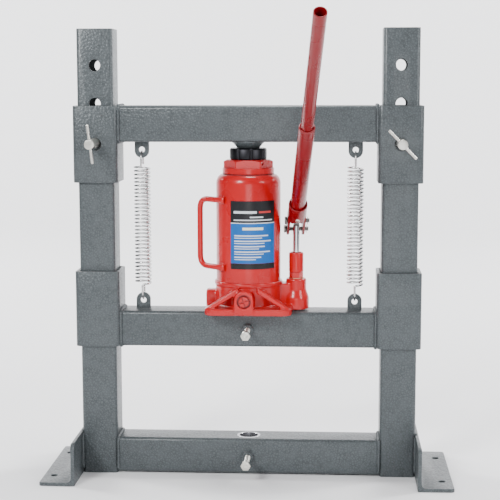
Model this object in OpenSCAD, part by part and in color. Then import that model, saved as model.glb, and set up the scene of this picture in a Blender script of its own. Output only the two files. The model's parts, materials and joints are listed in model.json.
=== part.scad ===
// Bench-top hydraulic H-frame press: a bottle jack pushes a sprung, sleeved
// beam down two square uprights. X runs along the beams, Y points to the back,
// Z is up, and the origin is on the bench under the middle of the press.

/* [Frame] */
// Height of the two uprights
upright_h = 625; // [600:1:680]
// Distance between the centre lines of the uprights
upright_pitch = 420; // [410:1:440]
// Side of the square tube in the uprights and beams
tube_w = 50; // [49:0.5:51]
// Wall of that square tube
tube_wall = 3; // [2.5:0.5:3.5]
// Outer corner radius of that square tube
tube_r = 5; // [4:0.5:6]
// Side of the square sleeves that slide on the uprights
sleeve_w = 62; // [61:0.5:63]
// Running gap between an upright and a sleeve, each side
sleeve_gap = 1; // [0.8:0.1:1.2]
// Height of each sleeve
sleeve_h = 106; // [98:1:110]
// Height of the base beam's top face above the bench
base_top = 52; // [51:1:54]
// Height of the sliding beam's top face above the bench
beam_top = 234; // [230:1:236]
// Height of the top beam's top face above the bench
top_beam_top = 520; // [519:1:524]

/* [Height holes and cross pins] */
// Drop from the top of an upright to its first height hole
hole_drop = 50; // [50:1:52]
// Pitch of the height holes
hole_pitch = 52.5; // [52:0.1:52.5]
// Number of height holes in each upright
hole_count = 3; // [3:1:3]
// Diameter of the height holes
hole_d = 16; // [15.5:0.1:16.5]
// Diameter of the cross pins
pin_d = 13.5; // [12:0.1:14]
// Length of a cross pin
pin_len = 116; // [110:1:120]
// Length of the bar through a cross pin's outer end
pin_bar_len = 53; // [45:1:56]

/* [Feet] */
// Depth of each angle foot, front to back
foot_depth = 185; // [170:1:200]
// Width of a foot's flat leg
foot_w = 50; // [45:1:55]
// Height of a foot's upright leg
foot_h = 60; // [55:1:62]
// Thickness of the foot angle
foot_t = 5; // [4:0.5:6]
// Diameter of the bench bolt holes
foot_hole_d = 9.5; // [9:0.1:11]
// Spacing of the bench bolt holes, front to back
foot_hole_pitch = 115; // [110:1:120]

/* [Springs] */
// Wire diameter of the return springs
spring_wire = 2.6; // [2.4:0.1:2.6]
// Mean diameter of the spring coils
spring_mean_d = 21.2; // [20.8:0.1:21.6]
// Number of coils in each spring
spring_coils = 32; // [28:1:34]
// Distance from the middle of the press to each spring
spring_x = 149; // [148:0.5:150]
// Hole in each spring lug
lug_hole_d = 8.4; // [8:0.1:9]

/* [Tool holders] */
// Bore of the tool bushes in the two lower beams
tool_bore_d = 26; // [25.5:0.1:27]
// Outer diameter of the tool bushes
tool_bush_d = 34; // [33:0.5:36]
// Diameter of the clamp bolts
bolt_d = 8; // [7.5:0.1:8]

/* [Jack] */
// Outer diameter of the oil tank
tank_d = 90; // [89:0.5:91]
// Diameter of the ram
ram_d = 38; // [37:0.5:38.5]
// Bore of the pressure cylinder
cylinder_bore_d = 43; // [42.5:0.1:43.2]
// Diameter of the fluted saddle
saddle_d = 51.6; // [50:0.1:53]
// Number of flutes round the saddle
saddle_flutes = 9; // [7:1:12]
// Distance from the jack's axis to the pump's axis
pump_x = 67; // [66.5:0.1:67.5]

/* [Pump and handle] */
// Turn of the pump lever away from straight ahead, in degrees
lever_yaw = 5.8; // [4:0.1:7]
// Handle angle above level, in degrees
lever_up = 38; // [36:0.5:40]
// Distance between the lever's two pivot pins
lever_arm = 22; // [21.5:0.1:22.5]
// Diameter of the lever's pivot pins
lever_pin_d = 6; // [5.8:0.1:6]
// Outer diameter of the lower handle tube
handle_low_d = 21; // [20.5:0.1:21.2]
// Outer diameter of the upper handle tube
handle_top_d = 16.4; // [16:0.1:16.8]
// Distance from the plunger pin to the open end of the handle
handle_reach = 438; // [420:1:450]

/* [Hidden] */
$fn = 48;

// colours of the finishes
grey_paint = [0.47, 0.49, 0.5];
red_paint = [0.82, 0.07, 0.08];
dark_red = [0.62, 0.06, 0.07];
zinc = [0.78, 0.8, 0.82];
chrome = [0.85, 0.86, 0.88];
black_steel = [0.06, 0.06, 0.07];
rubber_black = [0.03, 0.03, 0.03];
copper = [0.72, 0.45, 0.3];
label_blue = [0.1, 0.35, 0.7];

// places that follow from the driving sizes
eps = 0.05;                                  // gap between fixed pieces that touch all round
over = 1;                                    // how far a cutter reaches past a face
through = 60;                                // length of a cutter that goes right through a small piece
half_tube = tube_w / 2;
sleeve_wall = (sleeve_w - tube_w) / 2 - sleeve_gap;
upright_x = upright_pitch / 2;
beam_half = upright_x - sleeve_w / 2;        // half length of the sliding and top beams
base_half = upright_x - half_tube;           // half length of the base beam
sliding_z = beam_top - tube_w;               // underside of the sliding beam
top_beam_z = top_beam_top - tube_w;          // underside of the top beam
base_z = base_top - tube_w;                  // underside of the base beam
cross_hole_z = upright_h - hole_drop - hole_pitch * (hole_count - 1);
pin_z = cross_hole_z - (hole_d - pin_d) / 2 + eps;      // pins lie in the bottom of the holes
sleeve_hole_d = 17;
sleeve_hole_z = pin_z - (sleeve_hole_d - pin_d) / 2 + eps;
pin_back = 40;                               // how far back a cross pin reaches
pin_bar_d = 3.8;
pin_bar_y = pin_back - pin_len + 7;
pin_tip_chamfer = 2;
pin_head_chamfer = 1;
foot_out = upright_x + half_tube;            // outer face of an upright
foot_hole_x = foot_out + foot_w - 15;

// springs and their lugs
lug_w = 20;
lug_t = 5;
lug_drop = 23;
top_hole_z = top_beam_z - 11.5;
low_hole_z = beam_top + 12;
spring_r = spring_mean_d / 2;
hook_lift = lug_hole_d / 2 - spring_wire / 2 - 0.7;     // how far a hook lies off the hole's centre
hook_riser = 10.5;
hook_return = 8;                             // how far a hook's free end comes back down
hook_sides = 16;
coil_steps = 10;                             // flat pieces in one turn of a spring
wire_sides = 5;
spring_hi = top_hole_z - hook_lift - spring_r - hook_riser;
spring_lo = low_hole_z + hook_lift + spring_r + hook_riser;

// clamp bolts and nuts
bolt_tip = tool_bore_d / 2 + 0.4;
bolt_head_y = 69.5;
bolt_head_h = 5.5;
bolt_af = 12;
nut_h = 6.5;
nut_af = 14;
bolt_r = bolt_d / 2;
bolt_hole_r = bolt_r + 0.5;
nut_bore_r = bolt_r + 0.08;

// jack, heights measured up from the sliding beam
jz = beam_top;
flange_t = 9;
flange_w = 120;
flange_x = 2;
drum_r = 46;
rim_r = tank_d / 2 + 2.6;
rim_h = 6;
rim_top = 42.5;
boss_arch_r = 13.5;                          // arched boss round the release valve
boss_arch_z = 21;
boss_back = 40;
boss_depth = 22;
side_lug_start = -59;
side_lug_w = 26;
side_lug_top = 29;
side_lug_r = 5;
rib_y = 47;
rib_t = 16;
rib_left = [[-55, 8], [-46, 8], [-11, 31], [-11, 37], [-16, 35]];
rib_right = [[59, 8], [50, 8], [15, 31], [15, 37], [20, 35]];
tank_foot = 38.6;
tank_r = tank_d / 2;
tank_wall = 2.5;
shoulder_z = 178;
neck_z = 191;
collar_top = 200;
hex_top = 211.3;
tank_nut_af = 60;
tank_nut_turn = 3;
tank_nut_skirt = 13;                         // how far its skirt reaches into the tank
wiper_w = 3;
wiper_h = 4;
neck_r = 33.4;
collar_r = 36;
filler_z = 158;
filler_r = 4;
filler_head_r = 6.5;
ram_r = ram_d / 2;
fit = 0.08;                                  // radial gap of the sliding fits
cylinder_r = cylinder_bore_d / 2;
cylinder_out_r = 27;
well_z = 26;                                 // floor of the well that holds the cylinder
cylinder_top = 187;
ram_foot = 34;
ram_top = 210.8;
piston_h = 12;
cup_h = 5;
screw_bore_z = 118;
screw_foot = 128;
saddle_r = saddle_d / 2;
saddle_foot = 211.6;
saddle_top = 227;
screw_r = 13.4;
dish_r = 13;
dish_depth = 3.2;
flute_r = 2.4;
flute_turn = -78;
seat_r = 12;
seat_root_r = 21;
release_x = -3;
release_z = 20;
release_r = 4;
release_head_r = 7;
release_tip = 25.4;
release_slot_w = 2.4;
o_ring_y = 46.5;
way_r = 2.2;                                 // radius of the drilled oilways
delivery_z = 12.2;
delivery_r = 4.5;
delivery_start = 50;
ball_r = 3.5;
label_low = 62.5;
label_high = 156.5;
label_start = -119;
label_sweep = 84;
label_t = 0.35;
bail_turn = 228.5;
bail_low = 63.5;
bail_high = 157;
bail_r = 4;
bail_bend_r = 13;
bail_reach = 46.6;

// pump and lever, in the lever's own plane
boss_top = 45;
boss_r = 18;
boss_neck_r = 14.3;
boss_shoulder_z = 18;
bridge_start = 30;
bridge_w = 24;
pump_socket_r = 8;
pump_socket_z = 18;
pump_stem_r = 7.9;
pump_neck_af = 17;
packing_r = 7.5;
packing_h = 6.5;
pump_neck_z = 53.5;
pump_top_z = 81.3;
pump_r = 10.2;
plunger_r = 4.5;
plunger_pin_z = 126;
plunger_eye_r = 5.3;
plunger_head_r = 8.7;
plunger_head_t = 7;
plunger_foot = 41;
pin_r = lever_pin_d / 2;
fulcrum_y = lever_arm * cos(lever_up);       // how far the fulcrum lies behind the plunger
fulcrum_z = plunger_pin_z - lever_arm * sin(lever_up);
link_foot_y = 22;
link_foot_z = 28;
link_t = 6;
link_r = 6.5;
link_ear_x = 6.1;
link_ear_t = 5;
link_ear_r = 7;
link_pin_l = 20;
link_pin_head_r = 5;
link_pin_head_h = 2.5;
ear_gap = 9;                                 // half the space between the socket's ears
ear_t = 3.5;
ear_r = 8.5;
ear_reach = 14;                              // how far the ears lap onto the round socket
cotter_x = 15.8;                             // how far out on the lever's pins the split pins sit
socket_r = 13;
socket_bore_r = 11;
socket_end = 43;
socket_start = 8;
socket_stop_r = 8.8;
socket_stop_z = 12;
rivet_z = 20;
rivet_r = 2;
rivet_head_r = 3.4;
lever_pin_head_r = 5.4;
lever_pin_head_h = 3.2;
lever_pin_start = -13.5;
cotter_wire_r = 1;
cotter_ring_r = 2;
handle_wall = 1.5;
handle_stop_wall = 3;
handle_low_start = 12.5;
handle_low_end = 222;
handle_top_start = 180;

// ---- shapes used more than once ----

module rounded_square(w, h, r) {
    square([w, h - 2 * r], center = true);
    square([w - 2 * r, h], center = true);
    for (sx = [-1, 1], sy = [-1, 1]) translate([sx * (w / 2 - r), sy * (h / 2 - r)]) circle(r);
}

module square_tube(w, wall, r, length) {
    linear_extrude(length) difference() {
        rounded_square(w, w, r);
        rounded_square(w - 2 * wall, w - 2 * wall, max(r - wall, 1));
    }
}

module along_y(y0, y1, r) {
    translate([0, y0, 0]) rotate([-90, 0, 0]) cylinder(r = r, h = y1 - y0);
}

module hexagon(af, h) {
    cylinder(r = af / 2 / cos(30), h = h, $fn = 6);
}

module ring(r_in, r_out, z0, z1) {
    translate([0, 0, z0]) difference() {
        cylinder(r = r_out, h = z1 - z0);
        translate([0, 0, -over]) cylinder(r = r_in, h = z1 - z0 + 2 * over);
    }
}

module beam(z0, half_len, wall) {
    translate([-half_len, 0, z0 + half_tube]) rotate([90, 0, 90]) square_tube(tube_w, wall, tube_r, 2 * half_len);
}

// ---- frame ----

module upright(side) {
    color(grey_paint) translate([side * upright_x, 0, 0]) difference() {
        square_tube(tube_w, tube_wall, tube_r, upright_h);
        for (i = [0 : hole_count - 1]) {
            translate([0, 0, upright_h - hole_drop - i * hole_pitch]) along_y(-tube_w, tube_w, hole_d / 2);
        }
    }
}
module left_upright() { upright(-1); }
module right_upright() { upright(1); }

module base_beam() {
    color(grey_paint) difference() {
        beam(base_z, base_half, tube_wall);
        translate([0, 0, base_z - over]) cylinder(r = tool_bush_d / 2 + eps, h = tube_w + 2 * over);
        translate([0, 0, base_z + half_tube]) along_y(-tube_w, -bolt_tip, bolt_hole_r);
    }
}

module foot(side) {
    color(grey_paint) difference() {
        translate([side * foot_out, foot_depth / 2, 0]) rotate([90, 0, 0]) linear_extrude(foot_depth) {
            mirror([side < 0 ? 1 : 0, 0]) union() {
                square([foot_t, foot_h]);
                square([foot_w, foot_t]);
                difference() {
                    square([2 * foot_t, 2 * foot_t]);
                    translate([2 * foot_t, 2 * foot_t]) circle(foot_t);
                }
            }
        }
        for (sy = [-1, 1]) {
            translate([side * foot_hole_x, sy * foot_hole_pitch / 2, -over])
                cylinder(d = foot_hole_d, h = foot_t + 2 * over);
        }
    }
}
module left_foot() { foot(-1); }
module right_foot() { foot(1); }

module bush(z0, z1) {
    color(zinc) difference() {
        ring(tool_bore_d / 2, tool_bush_d / 2, z0, z1);
        translate([0, 0, z0 + half_tube]) along_y(-tube_w, 0, bolt_hole_r);
    }
}
module bed_bush() { bush(base_z, base_top); }
module tool_bush() { bush(sliding_z, beam_top - tube_wall); }

module clamp_nut(z) {
    color(grey_paint) translate([0, -half_tube, z]) rotate([90, 0, 0]) difference() {
        hexagon(nut_af, nut_h);
        translate([0, 0, -over]) cylinder(r = nut_bore_r, h = nut_h + 2 * over);
    }
}
module bed_clamp_nut() { clamp_nut(base_z + half_tube); }
module beam_clamp_nut() { clamp_nut(sliding_z + half_tube); }

module clamp_bolt(z) {
    color(zinc) translate([0, 0, z]) {
        along_y(-bolt_head_y, -bolt_tip, bolt_r);
        translate([0, -bolt_head_y, 0]) rotate([90, 0, 0]) hexagon(bolt_af, bolt_head_h);
    }
}
module bed_clamp_bolt() { clamp_bolt(base_z + half_tube); }
module beam_clamp_bolt() { clamp_bolt(sliding_z + half_tube); }

module sleeve(side, z0, hole) {
    color(grey_paint) translate([side * upright_x, 0, 0]) difference() {
        translate([0, 0, z0]) square_tube(sleeve_w, sleeve_wall, tube_r + 1, sleeve_h);
        if (hole) translate([0, 0, sleeve_hole_z]) along_y(-sleeve_w, sleeve_w, sleeve_hole_d / 2);
    }
}
module left_top_sleeve() { sleeve(-1, top_beam_top - sleeve_h, true); }
module right_top_sleeve() { sleeve(1, top_beam_top - sleeve_h, true); }
module left_slide_sleeve() { sleeve(-1, sliding_z, false); }
module right_slide_sleeve() { sleeve(1, sliding_z, false); }

module top_beam() { color(grey_paint) beam(top_beam_z, beam_half, tube_wall); }

module sliding_beam() {
    color(grey_paint) difference() {
        beam(sliding_z, beam_half, tube_wall);
        translate([0, 0, sliding_z - over]) cylinder(r = tool_bush_d / 2 + eps, h = half_tube);
        translate([0, 0, sliding_z + half_tube]) along_y(-tube_w, -bolt_tip, bolt_hole_r);
    }
}

// a spring lug: a flat plate with a round end, its root at root_z, pointing up or down
module lug(side, root_z, way, hole_z) {
    end_z = root_z + way * (lug_drop - lug_w / 2);
    color(grey_paint) translate([side * spring_x, 0, 0]) difference() {
        union() {
            translate([0, 0, end_z]) along_y(-lug_t / 2, lug_t / 2, lug_w / 2);
            translate([-lug_w / 2, -lug_t / 2, min(root_z, end_z)]) cube([lug_w, lug_t, abs(end_z - root_z)]);
        }
        translate([0, 0, hole_z]) along_y(-lug_t, lug_t, lug_hole_d / 2);
    }
}
module left_top_lug() { lug(-1, top_beam_z, -1, top_hole_z); }
module right_top_lug() { lug(1, top_beam_z, -1, top_hole_z); }
module left_beam_lug() { lug(-1, beam_top, 1, low_hole_z); }
module right_beam_lug() { lug(1, beam_top, 1, low_hole_z); }

// the seat that the jack's saddle pushes on, with a spigot that sits in the saddle's dish
module jack_seat() {
    root = top_beam_z - jz - saddle_top;
    color(grey_paint) translate([0, 0, jz + saddle_top]) rotate_extrude() polygon([
        [0, -2.6], [seat_r - 1, -2.6], [seat_r, -1.8], [seat_r, 0.3], [seat_r + 3.5, 0.3],
        [seat_root_r, root - 2], [seat_root_r, root], [0, root]
    ]);
}

// ---- cross pins ----

module cross_pin(side) {
    color(zinc) translate([side * upright_x, 0, pin_z]) difference() {
        union() {
            along_y(pin_back - pin_len + pin_head_chamfer, pin_back - pin_tip_chamfer, pin_d / 2);
            translate([0, pin_back - pin_tip_chamfer, 0]) rotate([-90, 0, 0])
                cylinder(r1 = pin_d / 2, r2 = pin_d / 2 - pin_tip_chamfer, h = pin_tip_chamfer);
            translate([0, pin_back - pin_len + pin_head_chamfer, 0]) rotate([90, 0, 0])
                cylinder(r1 = pin_d / 2, r2 = pin_d / 2 - pin_head_chamfer, h = pin_head_chamfer);
        }
        translate([0, pin_bar_y, 0]) rotate([0, pin_bar_tilt(side), 0])
            cylinder(r = pin_bar_d / 2 + eps, h = 2 * pin_d, center = true);
    }
}
function pin_bar_tilt(side) = side < 0 ? -7 : -44;

module pin_bar(side) {
    color(zinc) translate([side * upright_x, pin_bar_y, pin_z]) rotate([0, pin_bar_tilt(side), 0])
        cylinder(r = pin_bar_d / 2, h = pin_bar_len, center = true);
}
module left_pin() { cross_pin(-1); }
module right_pin() { cross_pin(1); }
module left_pin_bar() { pin_bar(-1); }
module right_pin_bar() { pin_bar(1); }

// ---- coil springs ----

// a ring of points round the wire, part way along a helix of the given size
function wire_ring(r, z0, pitch, wire_r, step) =
    let (a = 360 * step / coil_steps, z = z0 + pitch * step / coil_steps)
    [for (k = [0 : wire_sides - 1])
        let (b = 360 * k / wire_sides, out = r + wire_r * cos(b))
        [out * cos(a), out * sin(a), z + wire_r * sin(b)]];

module coil(r, z0, z1, turns, wire_r, start) {
    steps = turns * coil_steps;
    pitch = (z1 - z0) / turns;
    rings = [for (i = [0 : steps]) each wire_ring(r, z0, pitch, wire_r, i)];
    sides = [for (i = [0 : steps - 1], k = [0 : wire_sides - 1])
        let (a = i * wire_sides + k, b = i * wire_sides + (k + 1) % wire_sides)
        each [[a, b, b + wire_sides], [a, b + wire_sides, a + wire_sides]]];
    foot = [for (k = [wire_sides - 1 : -1 : 0]) k];
    head = [for (k = [0 : wire_sides - 1]) steps * wire_sides + k];
    rotate([0, 0, start]) polyhedron(rings, concat(sides, [foot, head]));
}

// a hook that rises from the last coil, goes over through the lug's hole and comes back down
module hook(z_end, way) {
    translate([0, 0, z_end]) mirror([0, 0, way < 0 ? 1 : 0]) {
        translate([0, -spring_r, -0.6]) cylinder(r = spring_wire / 2, h = hook_riser + 0.6, $fn = hook_sides);
        translate([0, 0, hook_riser]) rotate([90, 0, 90]) rotate_extrude(angle = 180, $fn = 2 * hook_sides)
            translate([spring_r, 0]) circle(spring_wire / 2, $fn = hook_sides);
        translate([0, spring_r, hook_riser - hook_return])
            cylinder(r = spring_wire / 2, h = hook_return, $fn = hook_sides);
    }
}

module return_spring(side) {
    color(zinc) translate([side * spring_x, 0, 0]) {
        coil(spring_r, spring_lo, spring_hi, spring_coils, spring_wire / 2, -90);
        hook(spring_hi, 1);
        hook(spring_lo, -1);
    }
}
module left_spring() { return_spring(-1); }
module right_spring() { return_spring(1); }

// ---- jack body ----

// the cast base: flange, drum, arched valve boss, side lug, pump boss and its web, four ribs
module jack_base() {
    color(red_paint) translate([0, 0, jz]) difference() {
        union() {
            translate([flange_x, 0, 0]) linear_extrude(flange_t) rounded_square(flange_w, flange_w, 12);
            cylinder(r = drum_r, h = rim_top - 4);
            translate([0, 0, rim_top - rim_h]) cylinder(r = rim_r, h = rim_h);
            valve_boss();
            side_lug();
            for (sy = [-1, 1]) corner_ribs(sy);
            pump_boss();
        }
        translate([0, 0, tank_foot - 0.9]) difference() {
            cylinder(r = tank_r + eps, h = 20);
            translate([0, 0, -over]) cylinder(r = tank_r - tank_wall - eps, h = 22);
        }
        translate([0, 0, well_z]) cylinder(r = cylinder_out_r + eps, h = through);
        pump_passages();
        release_passage();
    }
}

module valve_boss() {
    translate([release_x, -boss_back, 0]) rotate([90, 0, 0]) linear_extrude(boss_depth) {
        translate([0, boss_arch_z]) circle(boss_arch_r);
        translate([-boss_arch_r, 1]) square([2 * boss_arch_r, boss_arch_z - 1]);
    }
}

module side_lug() {
    straight = side_lug_top - side_lug_r;
    translate([side_lug_start, -side_lug_w / 2, 0]) rotate([90, 0, 90]) linear_extrude(boss_depth) {
        translate([0, 1]) square([side_lug_w, straight - 1]);
        translate([side_lug_r, 1]) square([side_lug_w - 2 * side_lug_r, side_lug_top - 1]);
        for (x = [side_lug_r, side_lug_w - side_lug_r]) translate([x, straight]) circle(side_lug_r);
    }
}

// slanting ribs from the flange's corners up to the valve boss, front and back alike
module corner_ribs(sy) {
    translate([0, sy * rib_y, 0]) rotate([90, 0, 0]) linear_extrude(rib_t, center = true) {
        polygon(rib_left);
        polygon(rib_right);
    }
}

module pump_boss() {
    translate([pump_x, 0, 2]) {
        cylinder(r = boss_r, h = boss_shoulder_z - 2);
        translate([0, 0, boss_shoulder_z - 2 - eps]) cylinder(r1 = boss_r, r2 = boss_neck_r, h = 11);
        cylinder(r = boss_neck_r, h = boss_top - 3.5);
        translate([0, 0, boss_top - 3.5 - eps]) cylinder(r1 = boss_neck_r, r2 = boss_neck_r - 1.3, h = 1.5 + eps);
    }
    translate([bridge_start, -bridge_w / 2, 1]) cube([pump_x - bridge_start, bridge_w, rim_top - 4]);
    translate([pump_x, 0, 0]) rotate([0, 0, lever_yaw]) for (sx = [-1, 1]) link_ear(sx);
}

// one of the two ears behind the pump boss that carry the link's lower pin
module link_ear(sx) {
    translate([sx * link_ear_x, 0, 0]) rotate([90, 0, 90]) linear_extrude(link_ear_t, center = true) {
        translate([link_foot_y, link_foot_z]) circle(link_ear_r);
        translate([8, 4]) square([link_foot_y + link_ear_r - 8, link_foot_z - 4]);
    }
}

module pump_passages() {
    translate([pump_x, 0, 0]) {
        translate([0, 0, pump_socket_z]) cylinder(r = pump_socket_r, h = through);
        translate([0, 0, delivery_z - way_r]) cylinder(r = 2, h = 10);
        rotate([0, 0, lever_yaw]) translate([0, link_foot_y, link_foot_z]) rotate([0, 90, 0])
            cylinder(r = pin_r + eps, h = through, center = true);
    }
    translate([0, 0, delivery_z]) {
        translate([delivery_start, 0, 0]) rotate([0, 90, 0]) cylinder(r = delivery_r, h = 40);
        translate([12, 0, 0]) rotate([0, 90, 0]) cylinder(r = way_r, h = 40);
        translate([14, 0, 0]) cylinder(r = way_r, h = 20);
    }
}

module release_passage() {
    translate([release_x, 0, release_z]) {
        along_y(-70, -56, release_head_r + 3);
        along_y(-70, -18, release_r + fit);
        along_y(-o_ring_y - 1.5, -o_ring_y + 1.5, release_r + 1.4);
        along_y(-20, 2, way_r);
        cylinder(r = way_r, h = 10);
    }
}

module base_gasket() {
    color(rubber_black) ring(tank_r - tank_wall, tank_r - eps, jz + tank_foot - 0.85, jz + tank_foot - eps);
}

// drawn steel tank with a rounded shoulder and a plain neck
module oil_tank() {
    color(red_paint) difference() {
        translate([0, 0, jz]) rotate_extrude($fn = 96) polygon(concat(
            [[tank_r - tank_wall, tank_foot], [tank_r, tank_foot], [tank_r, shoulder_z]],
            shoulder(tank_r, collar_r, shoulder_z, neck_z),
            [[neck_r, neck_z]],
            [for (i = [6 : -1 : 0]) shoulder_point(tank_r - tank_wall, neck_r, shoulder_z, neck_z - tank_wall, i)]
        ));
        translate([0, 0, jz + filler_z]) along_y(0, tank_d, filler_r + 0.2);
    }
}
// points on a quarter oval from the tank's side to its neck
function shoulder_point(r0, r1, z0, z1, i) = [r1 + (r0 - r1) * cos(15 * i), z0 + (z1 - z0) * sin(15 * i)];
function shoulder(r0, r1, z0, z1) = [for (i = [1 : 6]) shoulder_point(r0, r1, z0, z1, i)];

module pressure_cylinder() {
    color(zinc) ring(cylinder_r, cylinder_out_r, jz + well_z + 1.6, jz + cylinder_top);
}

module cylinder_washer() {
    color(copper) ring(cylinder_r, cylinder_out_r, jz + well_z + eps, jz + well_z + 1.5);
}

// the hexagon nut that closes the tank and screws down on the cylinder
module tank_nut() {
    color(red_paint) translate([0, 0, jz]) difference() {
        union() {
            translate([0, 0, neck_z + 0.8]) cylinder(r = collar_r, h = collar_top - neck_z - 0.8);
            translate([0, 0, neck_z - tank_nut_skirt]) cylinder(r = neck_r - 1.4, h = tank_nut_skirt + 7);
            rotate([0, 0, tank_nut_turn]) intersection() {
                translate([0, 0, collar_top - 1]) hexagon(tank_nut_af, hex_top - collar_top + 1);
                translate([0, 0, collar_top - 1]) rotate_extrude() polygon([
                    [0, 0], [35, 0], [35, hex_top - collar_top - 1.4], [31, hex_top - collar_top + 1],
                    [0, hex_top - collar_top + 1]
                ]);
            }
        }
        translate([0, 0, neck_z - 20]) cylinder(r = ram_r + fit, h = through);
        translate([0, 0, neck_z - 20]) cylinder(r = cylinder_out_r + eps, h = cylinder_top + 20 - neck_z + 0.1);
        translate([0, 0, collar_top + 2]) cylinder(r = ram_r + wiper_w + eps, h = wiper_h);
    }
}

module tank_seal() {
    color(rubber_black) ring(neck_r, collar_r - 0.2, jz + neck_z + eps, jz + neck_z + 0.75);
}

module ram_wiper() {
    groove = jz + collar_top + 2;
    color(rubber_black) ring(ram_r + fit, ram_r + wiper_w, groove + eps, groove + wiper_h - eps);
}

// round bar bent into a carrying handle, its legs lying along the tank's side
module carry_bail() {
    leg = bail_reach - bail_bend_r;
    color(red_paint) translate([0, 0, jz]) rotate([0, 0, bail_turn]) translate([tank_r + bail_r + eps, 0, 0])
        rotate([0, 0, -90]) {
        for (m = [0, 1]) translate([0, 0, m * (bail_low + bail_high)]) mirror([0, 0, m]) {
            translate([0, 0, bail_low]) rotate([0, 90, 0]) rotate([0, 0, 180])
                cylinder(r = bail_r, h = leg, $fn = 32);
            translate([leg, 0, bail_low + bail_bend_r]) rotate([90, 0, 0]) rotate([0, 0, -90])
                rotate_extrude(angle = 90) translate([bail_bend_r, 0]) circle(bail_r, $fn = 32);
        }
        translate([bail_reach, 0, bail_low + bail_bend_r])
            cylinder(r = bail_r, h = bail_high - bail_low - 2 * bail_bend_r, $fn = 32);
    }
}

// a printed foil wrapped round the front of the tank
module jack_label() {
    color(label_blue) translate([0, 0, jz + label_low]) rotate([0, 0, label_start])
        rotate_extrude(angle = label_sweep, $fn = 96) translate([tank_r + eps, 0])
            square([label_t, label_high - label_low]);
}

module filler_plug() {
    color(rubber_black) translate([0, 0, jz + filler_z]) {
        along_y(tank_r - 6, tank_r + 1, filler_r);
        along_y(tank_r + 0.3, tank_r + 3.5, filler_head_r);
    }
}

// ---- ram ----

module ram() {
    color(chrome) translate([0, 0, jz]) difference() {
        union() {
            translate([0, 0, ram_foot]) cylinder(r = ram_r, h = ram_top - ram_foot);
            translate([0, 0, ram_foot]) cylinder(r = cylinder_r - fit, h = piston_h);
        }
        translate([0, 0, screw_bore_z]) cylinder(r = screw_r + 0.2, h = ram_top);
    }
}

module ram_cup() {
    color(rubber_black) translate([0, 0, jz + ram_foot]) difference() {
        translate([0, 0, -cup_h]) cylinder(r = cylinder_r - fit, h = cup_h - eps);
        translate([0, 0, -cup_h - 1]) cylinder(r1 = cylinder_r - 2, r2 = cylinder_r - 5, h = cup_h - 1);
    }
}

// adjusting screw with the fluted saddle on its head
module extension_screw() {
    color(black_steel) translate([0, 0, jz]) difference() {
        union() {
            translate([0, 0, screw_foot]) cylinder(r = screw_r, h = saddle_foot - screw_foot + 1);
            translate([0, 0, saddle_foot]) rotate_extrude() polygon([
                [0, 0], [saddle_r - 2, 0], [saddle_r, 1.2], [saddle_r, saddle_top - saddle_foot - 2],
                [saddle_r - 1.6, saddle_top - saddle_foot], [0, saddle_top - saddle_foot]
            ]);
        }
        translate([0, 0, saddle_top - dish_depth]) cylinder(r = dish_r, h = 10);
        for (i = [0 : saddle_flutes - 1]) rotate([0, 0, 360 / saddle_flutes * i + flute_turn])
            translate([saddle_r + 0.6, 0, saddle_foot - over]) cylinder(r = flute_r, h = 30, $fn = 24);
    }
}

// ---- pump ----

module pump_cylinder() {
    color(red_paint) translate([pump_x, 0, jz]) difference() {
        union() {
            translate([0, 0, boss_top - 17]) cylinder(r = pump_stem_r, h = 20);
            translate([0, 0, boss_top + 1]) hexagon(pump_neck_af, pump_neck_z - boss_top - 1);
            translate([0, 0, pump_neck_z - eps]) cylinder(r = pump_r, h = pump_top_z - pump_neck_z - 1.2);
            translate([0, 0, pump_top_z - 1.3]) cylinder(r1 = pump_r, r2 = pump_r - 1.3, h = 1.3);
        }
        translate([0, 0, boss_top - 18]) cylinder(r = plunger_r + fit, h = 80);
        translate([0, 0, pump_top_z - packing_h]) cylinder(r = packing_r, h = 10);
    }
}

module pump_washer() {
    color(copper) translate([pump_x, 0, 0])
        ring(pump_socket_r, pump_socket_r + 2.5, jz + boss_top + eps, jz + boss_top + 1 - eps);
}

module pump_packing() {
    color(rubber_black) translate([pump_x, 0, 0])
        ring(plunger_r + fit, packing_r - eps, jz + pump_top_z - packing_h + 0.1, jz + pump_top_z - 1.2);
}

module at_lever(y, z) {
    translate([pump_x, 0, jz]) rotate([0, 0, lever_yaw]) translate([0, y, z]) children();
}

// polished rod with a flat eye, its hole left wide for the swing of the lever's pin
module pump_plunger() {
    color(chrome) difference() {
        union() {
            translate([pump_x, 0, jz + plunger_foot]) cylinder(r = plunger_r, h = plunger_pin_z - plunger_foot - 6);
            at_lever(0, plunger_pin_z) rotate([0, 90, 0])
                cylinder(r = plunger_head_r, h = plunger_head_t, center = true);
        }
        at_lever(0, plunger_pin_z) rotate([0, 90, 0]) cylinder(r = plunger_eye_r, h = through, center = true);
    }
}

module valve_balls() {
    color(zinc) {
        translate([pump_x, 0, jz + pump_socket_z + 3.7]) sphere(ball_r, $fn = 24);
        translate([delivery_start + 3.7, 0, jz + delivery_z]) sphere(ball_r, $fn = 24);
        translate([release_x, -21.7, jz + release_z]) sphere(ball_r, $fn = 24);
    }
}

module delivery_spring() {
    color(zinc) translate([pump_x, 0, jz + delivery_z]) rotate([0, 90, 0]) coil(3, -9.2, 8.5, 6, 0.4, 0);
}

module delivery_plug() {
    color(zinc) translate([0, 0, jz + delivery_z]) rotate([0, 90, 0]) difference() {
        translate([0, 0, 77]) cylinder(r = delivery_r - eps, h = 8);
        translate([0, 0, 82]) hexagon(4, 5);
    }
}

// ---- release valve ----

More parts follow.
